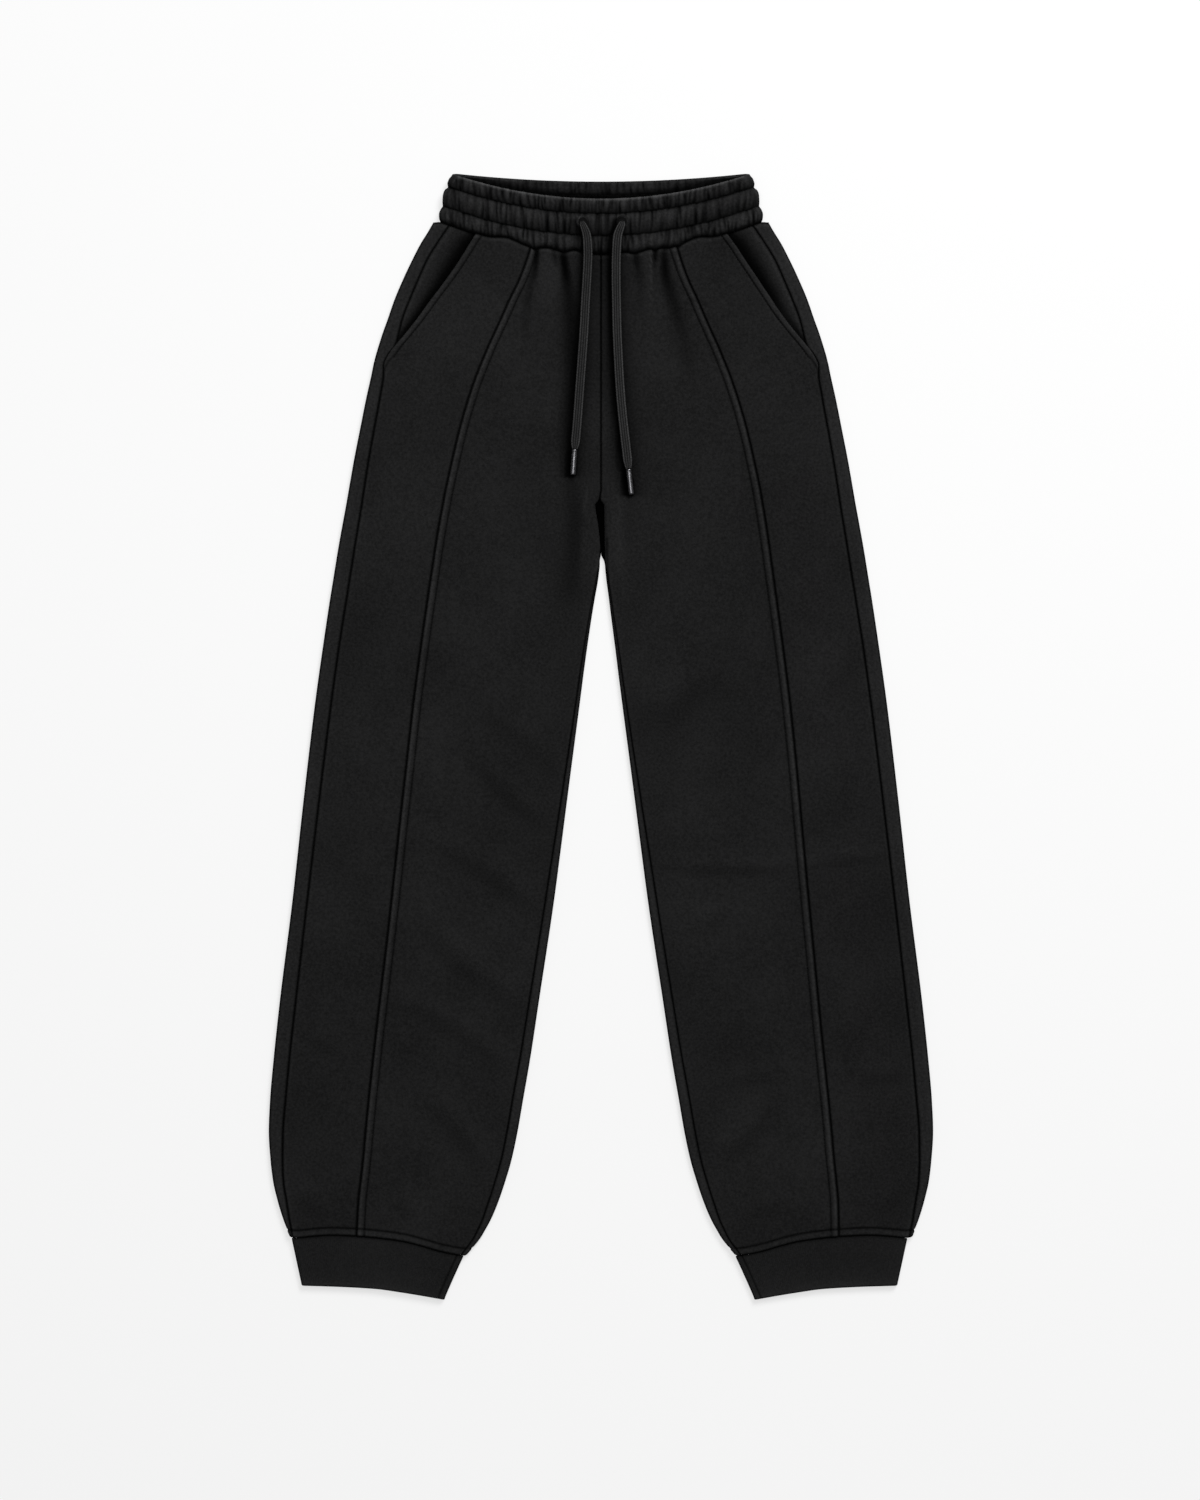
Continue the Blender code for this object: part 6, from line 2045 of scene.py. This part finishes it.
@dataclass(frozen=True)
class ClothFinish:
    """A fibre cloth: two near tones, nap, sheen and how rough it is."""

    name: str
    dark: Colour
    light: Colour
    fibre_scale: float = 1500.0
    stretch: float = 0.45
    mottle_scale: float = 16.0
    loft: float = 0.5
    grain_share: float = 0.75
    bump_distance: float = 0.0004
    bump_strength: float = 0.6
    roughness: Point = (0.82, 0.97)
    sheen: float = 0.015
    sheen_roughness: float = 0.4
    sheen_tint: Colour = (0.6, 0.6, 0.62)
    specular: float = 0.0

    def material(self, fibre: FibreGroup) -> Material:
        """Build the material around the shared fibre group.

        Args:
            fibre: the shared group.

        Returns:
            The material.
        """
        finish = Finish(self.name, self.light, Specular_IOR_Level=self.specular, Sheen_Weight=self.sheen,
                        Sheen_Roughness=self.sheen_roughness, Sheen_Tint=(*self.sheen_tint, 1.0))
        n = finish.nodes
        group = n.add("ShaderNodeGroup", {"node_tree": fibre.tree}, Vector=finish.place,
                      Fibre_Scale=self.fibre_scale, Stretch=self.stretch, Mottle_Scale=self.mottle_scale,
                      Loft=self.loft).outputs
        mottle = n.math("ADD", n.scaled(group["Grain"], self.grain_share),
                        n.scaled(group["Mottle"], 1.0 - self.grain_share))
        colour = finish.blend(finish.stretched(mottle, 0.38, 0.62), self.dark, self.light)
        # the colour is scaled by each point's tone, which carries painted shade and painted highlight
        tone = n.add("ShaderNodeAttribute", {"attribute_name": "tone"}).outputs["Fac"]
        toned = n.vector("SCALE", {0: colour, "Scale": n.math("POWER", 2.0, tone)})[0]
        return finish.surface(toned, group["Grain"], self.roughness, group["Height"],
                              (self.bump_distance, self.bump_strength))


@dataclass(frozen=True)
class MetalFinish:
    """Gunmetal plate: brushed along the rod, with lighter patches of wear."""

    name: str = "gunmetal"
    colour: Colour = (0.12, 0.12, 0.126)
    # the lighter colour of the metal's patches of wear
    wear_and_highlight: Colour = (0.24, 0.24, 0.25)
    roughness: Point = (0.2, 0.36)
    relief: Point = (0.00003, 0.5)

    def material(self) -> Material:
        """Build the material.

        Returns:
            The material.
        """
        finish = Finish(self.name, self.colour, Metallic=1.0)
        n = finish.nodes
        drawn = n.add("ShaderNodeMapping", Vector=finish.place, Scale=(1.0, 0.06, 1.0)).outputs[0]
        brush = n.add("ShaderNodeTexNoise", Vector=drawn, Scale=2600.0, Detail=2.0).outputs[0]
        wear = n.add("ShaderNodeTexNoise", Vector=finish.place, Scale=420.0, Detail=4.0).outputs[0]
        colour = finish.blend(finish.stretched(wear, 0.5, 0.75), self.colour, self.wear_and_highlight)
        return finish.surface(colour, brush, self.roughness, brush, self.relief)


FLEECE = ClothFinish("brushed_fleece", (0.0088, 0.0088, 0.0089), (0.0172, 0.0172, 0.0174))
POCKET_FLEECE = ClothFinish("pocket_fleece", (0.0088, 0.0088, 0.0089), (0.0168, 0.0168, 0.0170),
                            fibre_scale=1700.0)
RIB_KNIT = ClothFinish("rib_knit", (0.0092, 0.0092, 0.0093), (0.0156, 0.0156, 0.0158), fibre_scale=2100.0,
                       stretch=0.3, bump_strength=0.5)
BRAID = ClothFinish("cord_braid", (0.0150, 0.0150, 0.0151), (0.0250, 0.0250, 0.0252), fibre_scale=2600.0,
                    stretch=0.5, grain_share=0.9, bump_distance=0.0002, roughness=(0.6, 0.8), specular=0.03)
# the sewing thread is darker than the fleece: partly its own colour, partly painted shade of the stitch rows
# it lies in
THREAD = ClothFinish("sewing_thread", (0.0020, 0.0020, 0.0021), (0.0044, 0.0044, 0.0045), fibre_scale=3600.0,
                     stretch=1.0, grain_share=0.9, bump_distance=0.0001, bump_strength=0.5,
                     roughness=(0.5, 0.7), specular=0.02)
BINDING = ClothFinish("binding_thread", (0.0100, 0.0100, 0.0101), (0.0240, 0.0240, 0.0242), fibre_scale=900.0,
                      stretch=1.0, grain_share=0.9, bump_distance=0.0001, bump_strength=0.5,
                      roughness=(0.5, 0.7), specular=0.05)


@dataclass
class Studio:
    """White floor, soft light from the upper right, and the camera straight above, in metres."""

    distance: float = 4.0
    frame_height: float = 1.416
    centre: Point = (-0.0009, -0.0127)
    film: float = 36.0
    sky: float = 0.17
    overhead_place: Place = (-0.5, 0.35, 4.3)
    overhead_size: float = 2.2
    overhead_power: float = 56.0
    key_place: Place = (1.4, 2.6, 3.3)
    key_size: float = 1.9
    key_power: float = 141.0
    floor_reach: float = 6.0
    floor_drop: float = 0.0004
    floor_grey: float = 0.35
    floor_glow: float = 0.618

    def camera(self) -> None:
        """A long lens looking straight down, the whole frame 1.416 m high."""
        data = bpy.data.cameras.new("camera")
        data.sensor_fit = "VERTICAL"
        data.sensor_height = self.film
        data.lens = self.film * self.distance / self.frame_height
        data.clip_end = 50.0
        camera = place_object("camera", data)
        camera.location = (*self.centre, self.distance)
        bpy.context.scene.camera = camera

    @staticmethod
    def light(name: str, place: Place, size: float, power: float) -> None:
        """A square soft light aimed at the trousers.

        Args:
            name: the light's name.
            place: where it stands.
            size: the length of its side.
            power: its power in watts.
        """
        data = bpy.data.lights.new(name, "AREA")
        data.shape = "SQUARE"
        data.size = size
        data.energy = power
        lamp = place_object(name, data)
        lamp.location = place
        lamp.rotation_euler = (-Vector(place)).to_track_quat("-Z", "Y").to_euler()

    def floor(self) -> None:
        """The pale floor, glowing a little so that it stays white."""
        mesh = bpy.data.meshes.new("floor")
        reach, z = self.floor_reach, -self.floor_drop
        corners = [(-reach, -reach, z), (reach, -reach, z), (reach, reach, z), (-reach, reach, z)]
        mesh.from_pydata(corners, [], [(0, 1, 2, 3)])
        paper = bpy.data.materials.new("white_floor")
        paper.use_nodes = True
        shader = paper.node_tree.nodes["Principled BSDF"].inputs
        shader["Base Color"].default_value = (self.floor_grey, self.floor_grey, self.floor_grey, 1.0)
        shader["Roughness"].default_value = 0.9
        shader["Specular IOR Level"].default_value = 0.1
        shader["Emission Color"].default_value = (1.0, 1.0, 1.0, 1.0)
        shader["Emission Strength"].default_value = self.floor_glow
        mesh.materials.append(paper)
        place_object("floor", mesh)

    def build(self) -> None:
        """World, lights, camera, floor."""
        scene = bpy.context.scene
        scene.view_settings.view_transform = "Standard"
        world = bpy.data.worlds.new("studio")
        world.use_nodes = True
        sky = world.node_tree.nodes["Background"].inputs
        sky["Color"].default_value = (1.0, 1.0, 1.0, 1.0)
        sky["Strength"].default_value = self.sky
        scene.world = world
        self.light("overhead", self.overhead_place, self.overhead_size, self.overhead_power)
        self.light("key", self.key_place, self.key_size, self.key_power)
        self.camera()
        self.floor()


def guide_object(lines: list[Grid]) -> Piece:
    """A mesh of open lines of points for a geometry tool to work along.

    Args:
        lines: the points of each line, in millimetres.

    Returns:
        The new object.
    """
    points, edges = [], []
    for line in lines:
        start = len(points)
        points += (line[:, :3] * MM).tolist()
        edges += [(start + i, start + i + 1) for i in range(len(line) - 1)]
    mesh = bpy.data.meshes.new("guide")
    mesh.from_pydata(points, edges, [])
    return place_object("guide", mesh)


@dataclass
class Topstitching:
    """Lock stitches along every sewn line."""

    thread: Material
    pitch: float = 2.9
    stitch_length: float = 2.4
    thread_radius: float = 0.34

    def build(self, lines: list[Grid]) -> Piece:
        """The stitches of every line as one piece.

        Args:
            lines: the points of each line.

        Returns:
            The piece.
        """
        sizes = {"Pitch": self.pitch * MM, "Stitch Length": self.stitch_length * MM,
                 "Thread Radius": self.thread_radius * MM, "Seed": 4, "Material": self.thread}
        return stitching_tool().apply(guide_object(lines), "topstitching", sizes)


@dataclass
class Eyelet:
    """Thread-bound hole where a drawcord comes out of the waistband, with a painted highlight on the side the
    light falls from.
    """

    side: Side
    binding: Material
    # painted shade of the threads, and the side that gets a painted highlight
    thread_tone: float
    rubbed_side: Place
    hole_radius: float = 3.8
    rim_radius: float = 6.0
    thread_radius: float = 0.34
    threads: int = 52
    # painted shade of the dark disc in the hole
    hole_tone: float = -4.0
    lift: float = 0.35

    def build(self, tool: GeometryTool) -> Piece:
        """The bound rim round its dark hole.

        Args:
            tool: the binding tool.

        Returns:
            The piece.
        """
        spot = guide_object([np.array([(*EYELETS[self.side.word], BAND_TOP_Z + self.lift)])])
        sizes = {"Hole Radius": self.hole_radius * MM, "Rim Radius": self.rim_radius * MM,
                 "Thread Radius": self.thread_radius * MM, "Threads": self.threads,
                 "Thread Tone": self.thread_tone, "Hole Tone": self.hole_tone,
                 "Rubbed Side": self.rubbed_side, "Seed": 9, "Material": self.binding}
        return tool.apply(spot, f"bound_eyelet_{self.side.word}", sizes)


def dress(piece: Piece, slot: str, *nodes: str) -> Piece:
    """Put a finished piece on the root body, hide the solids that it stands for, and log its triangles.

    Args:
        piece: the piece.
        slot: not used.
        nodes: the solids that it stands for.

    Returns:
        The same piece.
    """
    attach(piece, "root")
    if nodes:
        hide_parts(*nodes)
    piece.data.calc_loop_triangles()
    LOG.info("%s: %d triangles", piece.name, len(piece.data.loop_triangles))
    return piece


def build_cords(braid: Material, metal: Material) -> None:
    """Both drawcords with their tips.

    Args:
        braid: the cords' finish.
        metal: the tips' finish.
    """
    for side, length in ((Side.RIGHT, 0.216), (Side.LEFT, 0.236)):
        cord = Drawcord(side, braid)
        rope = dress(cord.build(), "cord_braid", f"drawcord_{side.word}")
        line = [place * MM for place, _ in cord.centre_line(6.0)]
        tip = dress(CordTip(side, metal).build(cord.route()[-1][0]), "tip_metal", f"cord_tip_{side.word}")
        tuple(line[0])
        [tuple(p) for p in line]


def build_legs(fleece: Material, pocket_fleece: Material) -> list[Grid]:
    """Every panel of both legs.

    Args:
        fleece: the panels' finish.
        pocket_fleece: the pocket facings' finish.

    Returns:
        Their lines of topstitching.
    """
    lines = []
    for side in Side:
        leg = Leg(side, fleece, pocket_fleece)
        back = dress(leg.back(), "fleece", f"back_{side.word}")
        for make, node, flat, area in ((leg.front_centre, "front_centre", (0.21, 0.96), 0.128),
                                       (leg.front_side, "front_side", (0.11, 0.96), 0.072),
                                       (leg.facing, "pocket_facing", (0.05, 0.11), 0.0040)):
            panel = dress(make(), "fleece", f"{node}_{side.word}")
        lines += leg.stitches()
    return lines


def build_cuffs(knit: Material) -> None:
    """Both rib cuffs.

    Args:
        knit: the cuffs' finish.
    """
    tool = ribbing_tool()
    for side in Side:
        cuff = Cuff(side, knit)
        plain, marks = cuff.build()
        name = plain.name
        for label, column in (("wale", 0), ("rib_mask", 1)):
            layer = plain.data.attributes.new(label, "FLOAT", "POINT")
            layer.data.foreach_set("value", marks[:, column].astype(np.float32))
        plain.name = plain.data.name = "plain_cuff"
        piece = tool.apply(plain, name, {"Rib Depth": cuff.rib_depth * MM, "Material": knit})
        dress(piece, "rib_knit", f"cuff_{side.word}")


def build_stitches(lines: list[Grid], thread: Material, binding: Material) -> None:
    """All topstitching as one piece and both bound eyelets.

    Args:
        lines: every line of topstitching.
        thread: the stitches' finish.
        binding: the eyelets' finish.
    """
    dress(Topstitching(thread).build(lines), "eyelet_thread")
    tool = binding_tool()
    # per eyelet: the threads' painted shade and the side of their painted highlight
    for side, thread_tone, rubbed_side in ((Side.RIGHT, -0.75, (-190.0, 270.0, 0.0)),
                                           (Side.LEFT, -1.5, (290.0, 60.0, 0.0))):
        eyelet = Eyelet(side, binding, thread_tone, rubbed_side)
        dress(eyelet.build(tool), "eyelet_thread", f"eyelet_{side.word}")


def main() -> None:
    """Build the studio and every piece of the trousers."""
    logging.basicConfig(level=logging.INFO, format="%(name)s %(message)s")
    Studio().build()
    fibre = FibreGroup()
    fleece, pocket_fleece = FLEECE.material(fibre), POCKET_FLEECE.material(fibre)
    knit, braid, thread = RIB_KNIT.material(fibre), BRAID.material(fibre), THREAD.material(fibre)
    build_cords(braid, MetalFinish().material())
    lines = build_legs(fleece, pocket_fleece)
    band = Waistband(fleece)
    piece = dress(band.build(), "fleece", "waistband")
    build_cuffs(knit)
    build_stitches(lines + band.stitches(), thread, BINDING.material(fibre))


if __name__ == "__main__":
    main()
